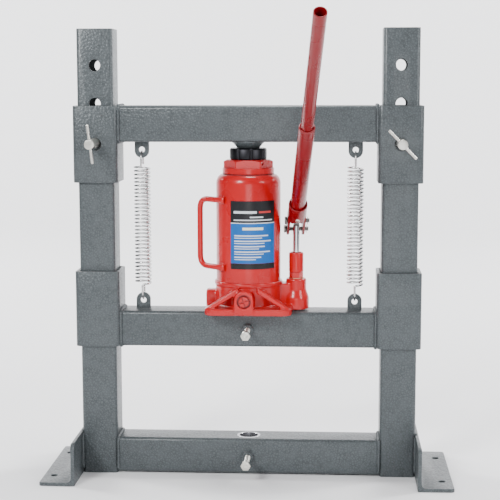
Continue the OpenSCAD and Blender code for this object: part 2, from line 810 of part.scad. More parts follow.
module release_valve() {
    color(red_paint) translate([release_x, 0, jz + release_z]) difference() {
        union() {
            along_y(-57, -release_tip, release_r);
            along_y(-63, -56.4, release_head_r);
        }
        for (a = [20, 110]) rotate([0, a, 0]) translate([-release_head_r - over, -64, -release_slot_w / 2])
            cube([2 * release_head_r + 2 * over, 4, release_slot_w]);
    }
}

module release_o_ring() {
    color(rubber_black) translate([release_x, -o_ring_y, jz + release_z]) rotate([90, 0, 0])
        rotate_extrude() translate([release_r + 0.72, 0]) circle(0.65, $fn = 16);
}

// ---- lever ----

module flat_bar(y0, z0, y1, z1, r, t) {
    length = norm([y1 - y0, z1 - z0]);
    rotate([90, 0, 90]) linear_extrude(t, center = true) {
        translate([y0, z0]) circle(r);
        translate([y1, z1]) circle(r);
        translate([y0, z0]) rotate(atan2(z1 - z0, y1 - y0)) translate([0, 1 - r]) square([length, 2 * r - 2]);
    }
}

module pump_link() {
    color(dark_red) at_lever(0, 0) difference() {
        flat_bar(link_foot_y, link_foot_z, fulcrum_y, fulcrum_z, link_r, link_t);
        for (eye = [[link_foot_y, link_foot_z], [fulcrum_y, fulcrum_z]])
            translate([0, eye[0], eye[1]]) rotate([0, 90, 0]) cylinder(r = pin_r + fit, h = through, center = true);
    }
}

module link_pin() {
    color(black_steel) at_lever(link_foot_y, link_foot_z) rotate([0, 90, 0]) {
        cylinder(r = pin_r, h = link_pin_l, center = true);
        translate([0, 0, -link_pin_l / 2 - 2]) cylinder(r = link_pin_head_r, h = link_pin_head_h);
    }
}

// places a child along the handle's axis, measured from the plunger pin
module along_handle() {
    at_lever(0, plunger_pin_z) rotate([90 - lever_up, 0, 0]) children();
}

// pressed socket: a round mouth for the handle and two ears that carry the pins
module handle_socket() {
    color(dark_red) along_handle() difference() {
        union() {
            translate([0, 0, socket_start]) cylinder(r = socket_r, h = socket_end - socket_start);
            for (sx = [-1, 1]) translate([sx * (ear_gap + ear_t / 2), 0, 0]) rotate([0, 90, 0])
                linear_extrude(ear_t, center = true) {
                    translate([lever_arm, 0]) circle(ear_r);
                    translate([-ear_reach, -ear_r]) square([lever_arm + ear_reach, 2 * ear_r]);
                }
        }
        translate([0, 0, socket_stop_z]) cylinder(r = socket_bore_r, h = through);
        cylinder(r = socket_stop_r, h = through);
        for (z = [0, -lever_arm]) translate([0, 0, z]) rotate([0, 90, 0])
            cylinder(r = pin_r + eps, h = through, center = true);
        translate([0, -socket_r, rivet_z]) rotate([90, 0, 0]) cylinder(r = rivet_r + eps, h = 8, center = true);
    }
}

module socket_rivet() {
    color(zinc) along_handle() translate([0, 0, rivet_z]) {
        translate([0, -10.7, 0]) rotate([90, 0, 0]) cylinder(r = rivet_r, h = 3);
        translate([0, -socket_r - 0.1, 0]) rotate([90, 0, 0]) cylinder(r1 = rivet_head_r, r2 = 2.2, h = 1.6);
    }
}

module lever_pin(z) {
    color(black_steel) along_handle() translate([0, 0, z]) rotate([0, 90, 0]) difference() {
        union() {
            translate([0, 0, lever_pin_start]) cylinder(r = pin_r, h = cotter_x + 2.5 - lever_pin_start);
            translate([0, 0, lever_pin_start - 2.7]) cylinder(r = lever_pin_head_r, h = lever_pin_head_h);
        }
        translate([0, 0, cotter_x]) rotate([0, 90, 0])
            cylinder(r = cotter_wire_r + eps, h = through, center = true, $fn = 24);
    }
}
module plunger_pin() { lever_pin(0); }
module fulcrum_pin() { lever_pin(-lever_arm); }

module lever_cotters() {
    color(zinc) along_handle() for (z = [0, -lever_arm]) translate([cotter_x, 0, z]) {
        translate([0, 0, -5]) cylinder(r = cotter_wire_r, h = 11, $fn = 24);
        translate([0, 0, -6.8]) rotate([90, 0, 0])
            rotate_extrude() translate([cotter_ring_r, 0]) circle(0.7, $fn = 16);
    }
}

module handle_lower() {
    color(dark_red) along_handle() difference() {
        translate([0, 0, handle_low_start]) cylinder(d = handle_low_d, h = handle_low_end - handle_low_start);
        translate([0, 0, handle_low_start - over])
            cylinder(r = handle_low_d / 2 - handle_stop_wall, h = handle_low_end);
        translate([0, 0, handle_low_start - over])
            cylinder(r = handle_low_d / 2 - handle_wall, h = handle_top_start - handle_low_start - 5);
        translate([0, 0, handle_top_start - 0.3]) cylinder(r = handle_low_d / 2 - handle_wall, h = through);
    }
}

module handle_upper() {
    color(dark_red) along_handle() difference() {
        translate([0, 0, handle_top_start]) cylinder(d = handle_top_d, h = handle_reach - handle_top_start);
        translate([0, 0, handle_top_start - over])
            cylinder(r = handle_top_d / 2 - handle_wall, h = handle_reach);
    }
}

left_upright();
right_upright();
base_beam();
left_foot();
right_foot();
bed_bush();
bed_clamp_nut();
bed_clamp_bolt();
left_top_sleeve();
right_top_sleeve();
top_beam();
left_top_lug();
right_top_lug();
jack_seat();
left_pin();
left_pin_bar();
right_pin();
right_pin_bar();
left_spring();
right_spring();
sliding_beam();
left_slide_sleeve();
right_slide_sleeve();
left_beam_lug();
right_beam_lug();
tool_bush();
beam_clamp_nut();
beam_clamp_bolt();
jack_base();
base_gasket();
oil_tank();
pressure_cylinder();
cylinder_washer();
tank_nut();
tank_seal();
ram_wiper();
carry_bail();
jack_label();
filler_plug();
ram();
ram_cup();
extension_screw();
pump_cylinder();
pump_washer();
pump_packing();
pump_plunger();
valve_balls();
delivery_spring();
delivery_plug();
release_valve();
release_o_ring();
pump_link();
link_pin();
handle_socket();
socket_rivet();
plunger_pin();
fulcrum_pin();
lever_cotters();
handle_lower();
handle_upper();
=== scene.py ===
"""A bench-top hydraulic H-frame press: the finished looks of each of its pieces.

Lengths are metres unless a name says otherwise. Places come from the frame: X runs along
the beams, Y points to the back and Z is up.
"""
import json
import math

import bmesh
import bpy
from mathutils import Matrix, Vector, noise
from mathutils.geometry import tessellate_polygon


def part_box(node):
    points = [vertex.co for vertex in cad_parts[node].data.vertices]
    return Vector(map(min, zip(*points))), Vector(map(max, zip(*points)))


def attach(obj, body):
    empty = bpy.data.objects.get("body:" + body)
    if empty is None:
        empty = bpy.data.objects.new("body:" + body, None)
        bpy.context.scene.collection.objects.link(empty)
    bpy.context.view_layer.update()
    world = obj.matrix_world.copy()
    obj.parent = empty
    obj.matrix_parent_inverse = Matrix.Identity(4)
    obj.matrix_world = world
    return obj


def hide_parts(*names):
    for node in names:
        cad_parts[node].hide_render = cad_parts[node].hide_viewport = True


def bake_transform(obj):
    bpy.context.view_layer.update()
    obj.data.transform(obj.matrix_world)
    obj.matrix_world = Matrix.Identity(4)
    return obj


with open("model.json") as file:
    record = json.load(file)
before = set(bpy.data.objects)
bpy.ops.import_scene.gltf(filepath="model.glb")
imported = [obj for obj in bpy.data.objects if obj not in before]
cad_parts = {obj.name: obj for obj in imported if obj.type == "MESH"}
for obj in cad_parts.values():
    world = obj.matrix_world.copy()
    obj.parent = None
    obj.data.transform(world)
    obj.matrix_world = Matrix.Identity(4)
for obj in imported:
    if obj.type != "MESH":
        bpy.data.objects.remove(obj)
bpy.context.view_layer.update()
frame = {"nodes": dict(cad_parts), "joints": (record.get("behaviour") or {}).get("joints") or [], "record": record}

bl_info = {
    "name": "Bench-top hydraulic press",
    "version": (1, 0, 0),
    "blender": (4, 5, 0),
    "location": "View3D > Sidebar > Press",
    "description": "Builds a hydraulic H-frame press with its bottle jack, piece by piece",
    "category": "Add Mesh",
}

MM = 0.001
PIN_RADIUS = 3 * MM
PIN_HOLE = 3.05 * MM
TANK_RADIUS = 45 * MM
ALONG_X = Matrix.Rotation(math.radians(90), 4, "Y")
ALONG_Y = Matrix.Rotation(math.radians(-90), 4, "X")
# An outline set up in X and Z, with its depth towards -Y.
UPRIGHT_PLANE = Matrix.Rotation(math.radians(90), 4, "X")
# An outline set up in Y and Z, with its depth along X.
SIDE_PLANE = Matrix(((0, 0, 1, 0), (1, 0, 0, 0), (0, 1, 0, 0), (0, 0, 0, 1)))
SIDES = {"left": -1, "right": 1}


# ---- places taken from the frame ----

def at(x, y, z):
    return Matrix.Translation((x, y, z))


def box(node):
    """Lowest corner, highest corner and middle of a CAD node."""
    low, high = (Vector(corner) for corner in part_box(node))
    return low, high, (low + high) / 2


def joint(name):
    return next(j for j in frame["joints"] if j["name"] == name)


def jack_place():
    """The jack's own frame: its axis, with the foot of the base casting at height 0."""
    axis = box("oil_tank")[2]
    return at(axis.x, 0, box("jack_base")[0].z)


def pump_place():
    axis = box("pump_washer")[2]
    return at(axis.x, axis.y, box("jack_base")[0].z)


def pump_plane():
    """The pump's frame turned to the lever's plane: X along the pivots, Y to the back, Z up."""
    across = Vector(joint("handle_pump")["axis"])
    up = Vector((0, 0, 1))
    turn = Matrix((across, up.cross(across), up)).transposed().to_4x4()
    return pump_place() @ turn


def lever_place():
    """The lever's frame: origin on the plunger's pin, X along the pins, Z out along the handle."""
    out = Vector(joint("handle_lower_pull")["axis"])
    across = Vector(joint("handle_pump")["axis"])
    fulcrum = Vector(joint("handle_pump")["pos_m"])
    pump_axis = box("pump_washer")[2]
    pin = fulcrum + out * ((pump_axis.y - fulcrum.y) / out.y)
    turn = Matrix((across, out.cross(across), out)).transposed().to_4x4()
    return at(*pin) @ turn


# ---- outlines and paths ----

def circle_points(radius, count=32, centre=(0, 0)):
    turn = 2 * math.pi / count
    return [Vector((centre[0] + radius * math.cos(i * turn), centre[1] + radius * math.sin(i * turn)))
            for i in range(count)]


def softened(points, radius, steps=5, closed=True):
    """The same path with each corner turned into a curve. radius is a number or one per point."""
    points = [Vector(p) for p in points]
    count = len(points)
    result = []
    for i, here in enumerate(points):
        size = radius[i] if isinstance(radius, (list, tuple)) else radius
        if size <= 0 or (not closed and i in (0, count - 1)):
            result.append(here)
            continue
        before, after = points[i - 1] - here, points[(i + 1) % count] - here
        reach = min(size, before.length * 0.49, after.length * 0.49)
        start, end = here + before.normalized() * reach, here + after.normalized() * reach
        for k in range(steps + 1):
            t = k / steps
            result.append(start * (1 - t) ** 2 + here * 2 * t * (1 - t) + end * t ** 2)
    return result


def rounded_rectangle(width, height, radius, steps=6):
    points = []
    for quarter, (sx, sy) in enumerate(((1, 1), (-1, 1), (-1, -1), (1, -1))):
        for k in range(steps + 1):
            angle = math.radians(90 * (quarter + k / steps))
            points.append(Vector((sx * (width / 2 - radius) + radius * math.cos(angle),
                                  sy * (height / 2 - radius) + radius * math.sin(angle))))
    return points


def signed_area(points):
    return sum(a.x * b.y - b.x * a.y for a, b in zip(points, points[1:] + points[:1])) / 2


# ---- shapes: each is a list of corners and a list of faces ----

def moved(shape, place):
    corners, faces = shape
    return [place @ Vector(c) for c in corners], faces


def joined(*shapes):
    corners, faces = [], []
    for more_corners, more_faces in shapes:
        start = len(corners)
        corners += more_corners
        faces += [[start + i for i in face] for face in more_faces]
    return corners, faces


def turned(stations, segments=64):
    """A solid turned about Z. A station is (radius, height), and either may be a function of the angle.
    It is closed by its ends on the axis, or else by joining the last station to the first."""
    def value(item, angle):
        return item(angle) if callable(item) else item

    corners, faces = [], []
    angles = [2 * math.pi * i / segments for i in range(segments)]
    rings = []
    for radius, height in stations:
        if radius == 0:
            rings.append([len(corners)] * segments)
            corners.append(Vector((0, 0, value(height, 0))))
            continue
        rings.append(list(range(len(corners), len(corners) + segments)))
        for angle in angles:
            r = value(radius, angle)
            corners.append(Vector((r * math.cos(angle), r * math.sin(angle), value(height, angle))))
    pairs = list(zip(rings, rings[1:]))
    if stations[0][0] != 0:
        pairs.append((rings[-1], rings[0]))
    for lower, upper in pairs:
        for i in range(segments):
            k = (i + 1) % segments
            face = list(dict.fromkeys((lower[i], lower[k], upper[k], upper[i])))
            if len(face) > 2:
                faces.append(face)
    return corners, faces


def lathed(profile, soft=0.0004, segments=64, steps=3):
    """A turned solid whose profile has every corner slightly rounded. The profile starts and ends
    on the axis, or is a closed ring."""
    on_axis = profile[0][0] == 0
    radii = [0 if r == 0 else soft for r, _ in profile]
    curve = softened([Vector(p) for p in profile], radii, steps, closed=not on_axis)
    return turned([(0 if p.x < 1e-9 else p.x, p.y) for p in curve], segments)


def plate(outlines, bottom, top, edge=0.0004, steps=2):
    """A flat piece with holes and broken edges. The first outline is the outside."""
    corners, faces, loops = [], [], []
    for number, outline in enumerate(outlines):
        points = [Vector(p) for p in outline]
        if (signed_area(points) > 0) != (number == 0):
            points.reverse()
        inward = []
        for before, here, after in zip([points[-1]] + points[:-1], points, points[1:] + points[:1]):
            a, b = (here - before).normalized(), (after - here).normalized()
            normal = Vector((-(a.y + b.y), a.x + b.x))
            normal.normalize()
            inward.append(normal / max(0.5, normal.dot(Vector((-a.y, a.x)))))
        levels = []
        for k in range(steps + 1):
            angle = math.radians(90 * k / steps)
            levels.append((edge * (1 - math.sin(angle)), bottom + edge * (1 - math.cos(angle))))
        levels += [(inset, bottom + top - height) for inset, height in reversed(levels)]
        rings = []
        for inset, height in levels:
            rings.append(list(range(len(corners), len(corners) + len(points))))
            corners += [Vector((*(p + n * inset), height)) for p, n in zip(points, inward)]
        for lower, upper in zip(rings, rings[1:]):
            for i in range(len(points)):
                k = (i + 1) % len(points)
                faces.append([lower[i], lower[k], upper[k], upper[i]])
        loops.append((rings[0], rings[-1]))
    for side in (0, 1):
        ring_lists = [loop[side] for loop in loops]
        flat = [index for ring in ring_lists for index in ring]
        flat_points = [[Vector((corners[i].x, corners[i].y, 0)) for i in ring] for ring in ring_lists]
        faces += [[flat[i] for i in triangle] for triangle in tessellate_polygon(flat_points)]
    return corners, faces


def swept(path, radius, sides=12, across=None):
    """A round bar along a path, with softened ends. radius is a number or a function of how far
    along the path it is, from 0 to 1, and may give a pair for an oval section, the first across."""
    path = [Vector(p) for p in path]
    lengths = [0.0]
    for a, b in zip(path, path[1:]):
        lengths.append(lengths[-1] + (b - a).length)
    end = len(path) - 1
    tangents = [(path[min(i + 1, end)] - path[max(i - 1, 0)]).normalized() for i in range(end + 1)]
    side = Vector(across) if across else tangents[0].orthogonal()
    rings = []
    for point, tangent, length in zip(path, tangents, lengths):
        side = (side - tangent * side.dot(tangent)).normalized()
        other = tangent.cross(side)
        size = radius(length / lengths[-1]) if callable(radius) else radius
        rings.append((point, tangent, side.copy(), other, size if isinstance(size, tuple) else (size, size)))
    first, last = rings[0], rings[-1]
    lead = min(first[4]) * 0.35
    tail = min(last[4]) * 0.35
    rings = [(*first[:4], tuple(s * 0.7 for s in first[4]))] + \
            [(first[0] + first[1] * lead, *first[1:])] + rings[1:-1] + \
            [(last[0] - last[1] * tail, *last[1:])] + [(*last[:4], tuple(s * 0.7 for s in last[4]))]
    corners, faces = [], []
    for point, _, side, other, (wide, deep) in rings:
        for k in range(sides):
            angle = 2 * math.pi * k / sides
            corners.append(point + side * wide * math.cos(angle) + other * deep * math.sin(angle))
    for r in range(len(rings) - 1):
        for k in range(sides):
            a, b = r * sides + k, r * sides + (k + 1) % sides
            faces.append([a, b, b + sides, a + sides])
    faces.append(list(range(sides - 1, -1, -1)))
    faces.append(list(range(len(corners) - sides, len(corners))))
    return corners, faces


def hexagon_radius(flat, angle, turn=0.0):
    """Distance from a hexagon's middle to its edge in one direction."""
    step = math.radians(60)
    inside = (angle - turn) % step - step / 2
    return flat / 2 / math.cos(inside)


def hexagon_head(flat, bottom, top, chamfer_bottom=True, bore=0.0, turn=0.0):
    """A hexagon with the curved chamfers of a nut or bolt head, with or without a bore."""
    edge = flat / 2
    slope = math.tan(math.radians(30))

    def outline(angle):
        return hexagon_radius(flat, angle, turn)

    def drop(angle):
        return (outline(angle) - edge * 0.98) * slope

    stations = []
    if chamfer_bottom:
        stations += [(edge * 0.96, bottom), (outline, lambda a: bottom + drop(a))]
    else:
        stations += [(lambda a: outline(a) - 0.0003, bottom), (outline, bottom + 0.0003)]
    stations += [(outline, lambda a: top - drop(a)), (edge * 0.96, top)]
    if bore:
        stations = [(bore + 0.0004, bottom)] + stations + [(bore + 0.0004, top), (bore, top - 0.0004),
                                                           (bore, bottom + 0.0004)]
    else:
        stations = [(0, bottom)] + stations + [(0, top)]
    return turned(stations, 96)


def threaded_rod(radius, bottom, top, pitch, depth, plain=0.0, segments=32):
    """A rod with a helical thread, plain for a length at its top, and a pointed lower end."""
    per_turn = 8
    count = max(2, int((top - plain - bottom) / pitch * per_turn))
    stations = [(0, bottom), (radius - depth * 1.3, bottom)]

    def crest(height):
        def at(angle):
            phase = (height / pitch - angle / (2 * math.pi)) % 1
            return radius - depth * min(1, max(0, 2.6 * abs(2 * phase - 1) - 0.8))
        return at

    start = bottom + depth
    for i in range(count + 1):
        height = start + (top - plain - start) * i / count
        stations.append((crest(height), height))
    stations += [(radius, top - plain + depth * 0.5), (radius, top), (0, top)]
    return turned(stations, segments)


# ---- meshes ----

def mesh_object(name, shape, angle=32, tidy=True):
    corners, faces = shape
    mesh = bpy.data.meshes.new(name)
    mesh.from_pydata([tuple(c) for c in corners], [], faces)
    if tidy:
        work = bmesh.new()
        work.from_mesh(mesh)
        bmesh.ops.remove_doubles(work, verts=work.verts, dist=2e-6)
        bmesh.ops.dissolve_degenerate(work, dist=1e-6, edges=work.edges)
        bmesh.ops.recalc_face_normals(work, faces=work.faces)
        work.to_mesh(mesh)
        work.free()
    obj = bpy.data.objects.new(name, mesh)
    bpy.context.scene.collection.objects.link(obj)
    shade(obj, angle)
    return obj


def shade(obj, angle=32):
    obj.data.shade_smooth()
    obj.data.set_sharp_from_angle(angle=math.radians(angle))


def apply_modifiers(obj):
    graph = bpy.context.evaluated_depsgraph_get()
    graph.update()
    done = bpy.data.meshes.new_from_object(obj.evaluated_get(graph))
    old = obj.data
    obj.modifiers.clear()
    obj.data = done
    bpy.data.meshes.remove(old)


def combine(obj, shape, operation="DIFFERENCE", angle=32):
    """Cuts a shape out of a piece, or adds it to the piece as one solid."""
    tool = mesh_object("tool", shape)
    step = obj.modifiers.new("Combine", "BOOLEAN")
    step.operation = operation
    step.object = tool
    step.solver = "EXACT"
    apply_modifiers(obj)
    bpy.data.objects.remove(tool)
    work = bmesh.new()
    work.from_mesh(obj.data)
    bmesh.ops.remove_doubles(work, verts=work.verts, dist=3e-6)
    work.to_mesh(obj.data)
    work.free()
    shade(obj, angle)
    return obj


def mend(mesh):
    """Drops the specks that a boolean can leave behind and closes its slivers."""
    work = bmesh.new()
    work.from_mesh(mesh)
    bmesh.ops.dissolve_degenerate(work, dist=2e-6, edges=work.edges)
    left = set(work.faces)
    specks = []
    while left:
        island, queue = [], [left.pop()]
        while queue:
            face = queue.pop()
            island.append(face)
            for edge in face.edges:
                for other in edge.link_faces:
                    if other in left:
                        left.remove(other)
                        queue.append(other)
        if len(island) < 6:
            specks += island
    bmesh.ops.delete(work, geom=specks, context="FACES")
    bmesh.ops.holes_fill(work, edges=[edge for edge in work.edges if edge.is_boundary], sides=12)
    bmesh.ops.delete(work, geom=[vert for vert in work.verts if not vert.link_faces], context="VERTS")
    work.to_mesh(mesh)
    work.free()


def cast(name, shapes, grain, rounds):
    """Overlapping solids grown into one casting with filleted corners."""
    obj = mesh_object(name, joined(*shapes), tidy=False)
    fuse = obj.modifiers.new("Fuse", "REMESH")
    fuse.mode = "VOXEL"
    fuse.voxel_size = grain
    settle = obj.modifiers.new("Settle", "SMOOTH")
    settle.factor = 0.5
    settle.iterations = rounds
    apply_modifiers(obj)
    shade(obj, 60)
    return obj


def drill(radius, start, end, flare=0.0, segments=48):
    """A cutter for a hole along Z from start to end, opening out slightly at start and end."""
    clear = 3 * MM
    return turned([(0, start - clear), (radius + flare, start - clear), (radius + flare, start),
                   (radius, start + flare), (radius, end - flare), (radius + flare, end),
                   (radius + flare, end + clear), (0, end + clear)], segments)


def finish(obj, body, material, *nodes):
    """Gives a piece its finish, the body it rides on and the CAD nodes that it stands for."""
    mend(obj.data)
    obj.data.materials.clear()
    obj.data.materials.append(finishes()[material])
    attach(obj, body)
    if nodes:
        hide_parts(*nodes)
    return obj


# ---- shader node groups ----

def new_group(name, inputs, outputs):
    group = bpy.data.node_groups.new(name, "ShaderNodeTree")
    for label, value in inputs:
        kind = "NodeSocketColor" if isinstance(value, tuple) else "NodeSocketFloat"
        socket = group.interface.new_socket(name=label, in_out="INPUT", socket_type=kind)
        socket.default_value = value
    for label, kind in outputs:
        group.interface.new_socket(name=label, in_out="OUTPUT", socket_type=kind)
    return group, group.nodes.new("NodeGroupInput"), group.nodes.new("NodeGroupOutput")


def link(tree, source, target):
    tree.links.new(source, target)


def add_node(tree, kind, **settings):
    node = tree.nodes.new(kind)
    for key, value in settings.items():
        if key in node.inputs:
            node.inputs[key].default_value = value
        else:
            setattr(node, key, value)
    return node


def maths(tree, operation, a, b=None, clamp=False):
    node = tree.nodes.new("ShaderNodeMath")
    node.operation = operation
    node.use_clamp = clamp
    for socket, item in zip(node.inputs, (a, b)):
        if item is None:
            continue
        if isinstance(item, (int, float)):
            socket.default_value = item
        else:
            tree.links.new(item, socket)
    return node.outputs[0]


def noise_value(tree, scale, detail=3.0, stretch=None):
    """A noise over the piece's own space. scale is a number or a socket; stretch scales its axes."""
    place = tree.nodes.new("ShaderNodeTexCoord").outputs["Object"]
    if stretch:
        mapping = tree.nodes.new("ShaderNodeMapping")
        mapping.inputs["Scale"].default_value = stretch
        tree.links.new(place, mapping.inputs["Vector"])
        place = mapping.outputs["Vector"]
    node = tree.nodes.new("ShaderNodeTexNoise")
    node.inputs["Detail"].default_value = detail
    tree.links.new(place, node.inputs["Vector"])
    if isinstance(scale, (int, float)):
        node.inputs["Scale"].default_value = scale
    else:
        tree.links.new(scale, node.inputs["Scale"])
    return node.outputs["Fac"]


def hammer_group():
    """The dimples and darker veins of a hammertone enamel."""
    group, given, result = new_group("Hammer Finish", [("Scale", 250.0), ("Spread", 0.5)],
                                     [("Height", "NodeSocketFloat"), ("Vein", "NodeSocketFloat")])
    place = group.nodes.new("ShaderNodeTexCoord").outputs["Object"]
    wobble = add_node(group, "ShaderNodeTexNoise", Scale=180.0, Detail=2.0)
    link(group, place, wobble.inputs["Vector"])
    shift = add_node(group, "ShaderNodeVectorMath", operation="SCALE")
    link(group, wobble.outputs["Color"], shift.inputs[0])
    shift.inputs["Scale"].default_value = 0.004
    warped = add_node(group, "ShaderNodeVectorMath", operation="ADD")
    link(group, place, warped.inputs[0])
    link(group, shift.outputs[0], warped.inputs[1])
    cells = add_node(group, "ShaderNodeTexVoronoi", feature="SMOOTH_F1", Smoothness=0.6)
    link(group, warped.outputs[0], cells.inputs["Vector"])
    link(group, given.outputs["Scale"], cells.inputs["Scale"])
    edges = add_node(group, "ShaderNodeTexVoronoi", feature="DISTANCE_TO_EDGE")
    link(group, warped.outputs[0], edges.inputs["Vector"])
    link(group, given.outputs["Scale"], edges.inputs["Scale"])
    near = maths(group, "DIVIDE", edges.outputs["Distance"], given.outputs["Spread"], clamp=True)
    patch = noise_value(group, 90.0, 2.0)
    vein = maths(group, "MULTIPLY", maths(group, "SUBTRACT", 1.0, near), patch, clamp=True)
    link(group, maths(group, "SUBTRACT", 1.0, cells.outputs["Distance"]), result.inputs["Height"])
    link(group, vein, result.inputs["Vein"])
    return group


def wear_and_highlight_group():
    """A mask along outside edges, in random specks, for paint or polish lost there and for a painted highlight on
    the edges.
    """
    group, given, result = new_group("Edge Wear and Painted Highlight", [("Amount", 0.5), ("Scale", 300.0)],
                                     [("Mask", "NodeSocketFloat")])
    round_normal = add_node(group, "ShaderNodeBevel", samples=4)
    round_normal.inputs["Radius"].default_value = 0.0009
    surface = group.nodes.new("ShaderNodeNewGeometry")
    agree = add_node(group, "ShaderNodeVectorMath", operation="DOT_PRODUCT")
    link(group, round_normal.outputs["Normal"], agree.inputs[0])
    link(group, surface.outputs["Normal"], agree.inputs[1])
    edge = maths(group, "MULTIPLY", maths(group, "SUBTRACT", 1.0, agree.outputs["Value"]), 9.0, clamp=True)
    speck = noise_value(group, given.outputs["Scale"], 4.0)
    picked = maths(group, "MULTIPLY", maths(group, "SUBTRACT", speck, 0.5), 7.0, clamp=True)
    link(group, maths(group, "MULTIPLY", maths(group, "MULTIPLY", edge, picked), given.outputs["Amount"],
                      clamp=True), result.inputs["Mask"])
    return group


def mottle_group():
    """Slow and fine unevenness that every real surface has."""
    group, given, result = new_group("Mottle", [("Slow", 18.0), ("Fine", 420.0)],
                                     [("Broad", "NodeSocketFloat"), ("Grain", "NodeSocketFloat")])
    link(group, noise_value(group, given.outputs["Slow"], 3.0), result.inputs["Broad"])
    link(group, noise_value(group, given.outputs["Fine"], 2.0), result.inputs["Grain"])
    return group


def dust_group():
    """Dust lying on faces that look up."""
    group, given, result = new_group("Settled Dust", [("Amount", 0.3), ("Scale", 60.0)],
                                     [("Mask", "NodeSocketFloat")])
    split = group.nodes.new("ShaderNodeSeparateXYZ")
    link(group, group.nodes.new("ShaderNodeNewGeometry").outputs["Normal"], split.inputs[0])
    up = maths(group, "MULTIPLY", maths(group, "SUBTRACT", split.outputs["Z"], 0.6), 2.5, clamp=True)
    speck = noise_value(group, given.outputs["Scale"], 5.0)
    some = maths(group, "MULTIPLY", up, speck)
    link(group, maths(group, "MULTIPLY", some, given.outputs["Amount"], clamp=True), result.inputs["Mask"])
    return group


def tool_lines_group():
    """Fine tool lines that run round a turned piece or along a drawn one."""
    group, given, result = new_group("Tool Lines", [("Scale", 900.0)], [("Lines", "NodeSocketFloat")])
    lines = noise_value(group, given.outputs["Scale"], 4.0, stretch=(0.04, 0.04, 1.0))
    link(group, lines, result.inputs["Lines"])
    return group


GROUP_MAKERS = {"Hammer Finish": hammer_group, "Edge Wear and Painted Highlight": wear_and_highlight_group, "Mottle": mottle_group,
                "Settled Dust": dust_group, "Tool Lines": tool_lines_group}


def use_group(tree, name, **values):
    """Places a shared node group in a material with its own values."""
    group = bpy.data.node_groups.get(name) or GROUP_MAKERS[name]()
    node = tree.nodes.new("ShaderNodeGroup")
    node.node_tree = group
    for key, value in values.items():
        node.inputs[key].default_value = value
    return node.outputs


# ---- materials ----

def new_material(name, **shader):
    material = bpy.data.materials.new(name)
    material.use_nodes = True
    tree = material.node_tree
    surface = tree.nodes["Principled BSDF"]
    for key, value in shader.items():
        surface.inputs[key.replace("_", " ")].default_value = value
    return material, tree, surface


def mixed(tree, mask, a, b):
    """Colour a where the mask is 0 and colour b where it is 1."""
    node = tree.nodes.new("ShaderNodeMix")
    node.data_type = "RGBA"
    node.clamp_factor = True
    tree.links.new(mask, node.inputs["Factor"])
    for socket, colour in ((node.inputs["A"], a), (node.inputs["B"], b)):
        if isinstance(colour, (tuple, list)):
            socket.default_value = (*colour[:3], 1)
        else:
            tree.links.new(colour, socket)
    return node.outputs["Result"]


def scaled(tree, value, low, high):
    """A value from 0 to 1 carried over to the span from low to high."""
    node = tree.nodes.new("ShaderNodeMapRange")
    node.inputs["To Min"].default_value = low
    node.inputs["To Max"].default_value = high
    tree.links.new(value, node.inputs["Value"])
    return node.outputs["Result"]


def bump(tree, surface, height, depth):
    node = tree.nodes.new("ShaderNodeBump")
    node.inputs["Strength"].default_value = 1.0
    node.inputs["Distance"].default_value = depth
    tree.links.new(height, node.inputs["Height"])
    tree.links.new(node.outputs["Normal"], surface.inputs["Normal"])


def shade_of(colour, factor):
    return tuple(min(1.0, channel * factor) for channel in colour[:3])


def hammered_enamel(name, colour):
    material, tree, surface = new_material(name, Specular_IOR_Level=0.25,
                                           Coat_Weight=0.12, Coat_Roughness=0.12)
    hammer = use_group(tree, "Hammer Finish", Scale=290.0, Spread=0.22)
    mottle = use_group(tree, "Mottle", Slow=9.0, Fine=600.0)
    wear_and_highlight = use_group(tree, "Edge Wear and Painted Highlight", Amount=0.55, Scale=260.0)
    dust = use_group(tree, "Settled Dust", Amount=0.12)
    base = mixed(tree, mottle["Broad"], shade_of(colour, 0.95), shade_of(colour, 1.22))
    base = mixed(tree, hammer["Vein"], base, shade_of(colour, 0.42))
    base = mixed(tree, dust["Mask"], base, (0.3, 0.3, 0.29))
    # Outside edges turn pale and metallic: partly chipped enamel, partly a painted highlight on the edges.
    base = mixed(tree, wear_and_highlight["Mask"], base, (0.3, 0.29, 0.28))
    link(tree, base, surface.inputs["Base Color"])
    link(tree, scaled(tree, wear_and_highlight["Mask"], 0.25, 0.9), surface.inputs["Metallic"])
    link(tree, scaled(tree, hammer["Height"], 0.5, 0.33), surface.inputs["Roughness"])
    bump(tree, surface, hammer["Height"], 0.0005)
    return material


def gloss_enamel(name, colour, bare_and_highlight=(0.2, 0.19, 0.18), peel=0.00004):
    """Sprayed gloss enamel with a slight orange peel, its outside edges flecked with grey bare steel, partly as
    chipped paint and partly as a painted highlight.
    """
    material, tree, surface = new_material(name, Specular_IOR_Level=0.35,
                                           Coat_Weight=0.2, Coat_Roughness=0.05)
    mottle = use_group(tree, "Mottle", Slow=22.0, Fine=520.0)
    wear_and_highlight = use_group(tree, "Edge Wear and Painted Highlight", Amount=0.5, Scale=330.0)
    dust = use_group(tree, "Settled Dust", Amount=0.12)
    base = mixed(tree, mottle["Broad"], shade_of(colour, 0.84), shade_of(colour, 1.1))
    base = mixed(tree, dust["Mask"], base, (0.4, 0.2, 0.19))
    # Outside edges turn to grey bare steel: partly chipped enamel, partly a painted highlight on the edges.
    base = mixed(tree, wear_and_highlight["Mask"], base, bare_and_highlight)
    link(tree, base, surface.inputs["Base Color"])
    link(tree, scaled(tree, wear_and_highlight["Mask"], 0.0, 0.8), surface.inputs["Metallic"])
    link(tree, scaled(tree, mottle["Broad"], 0.22, 0.34), surface.inputs["Roughness"])
    bump(tree, surface, mottle["Grain"], peel)
    return material


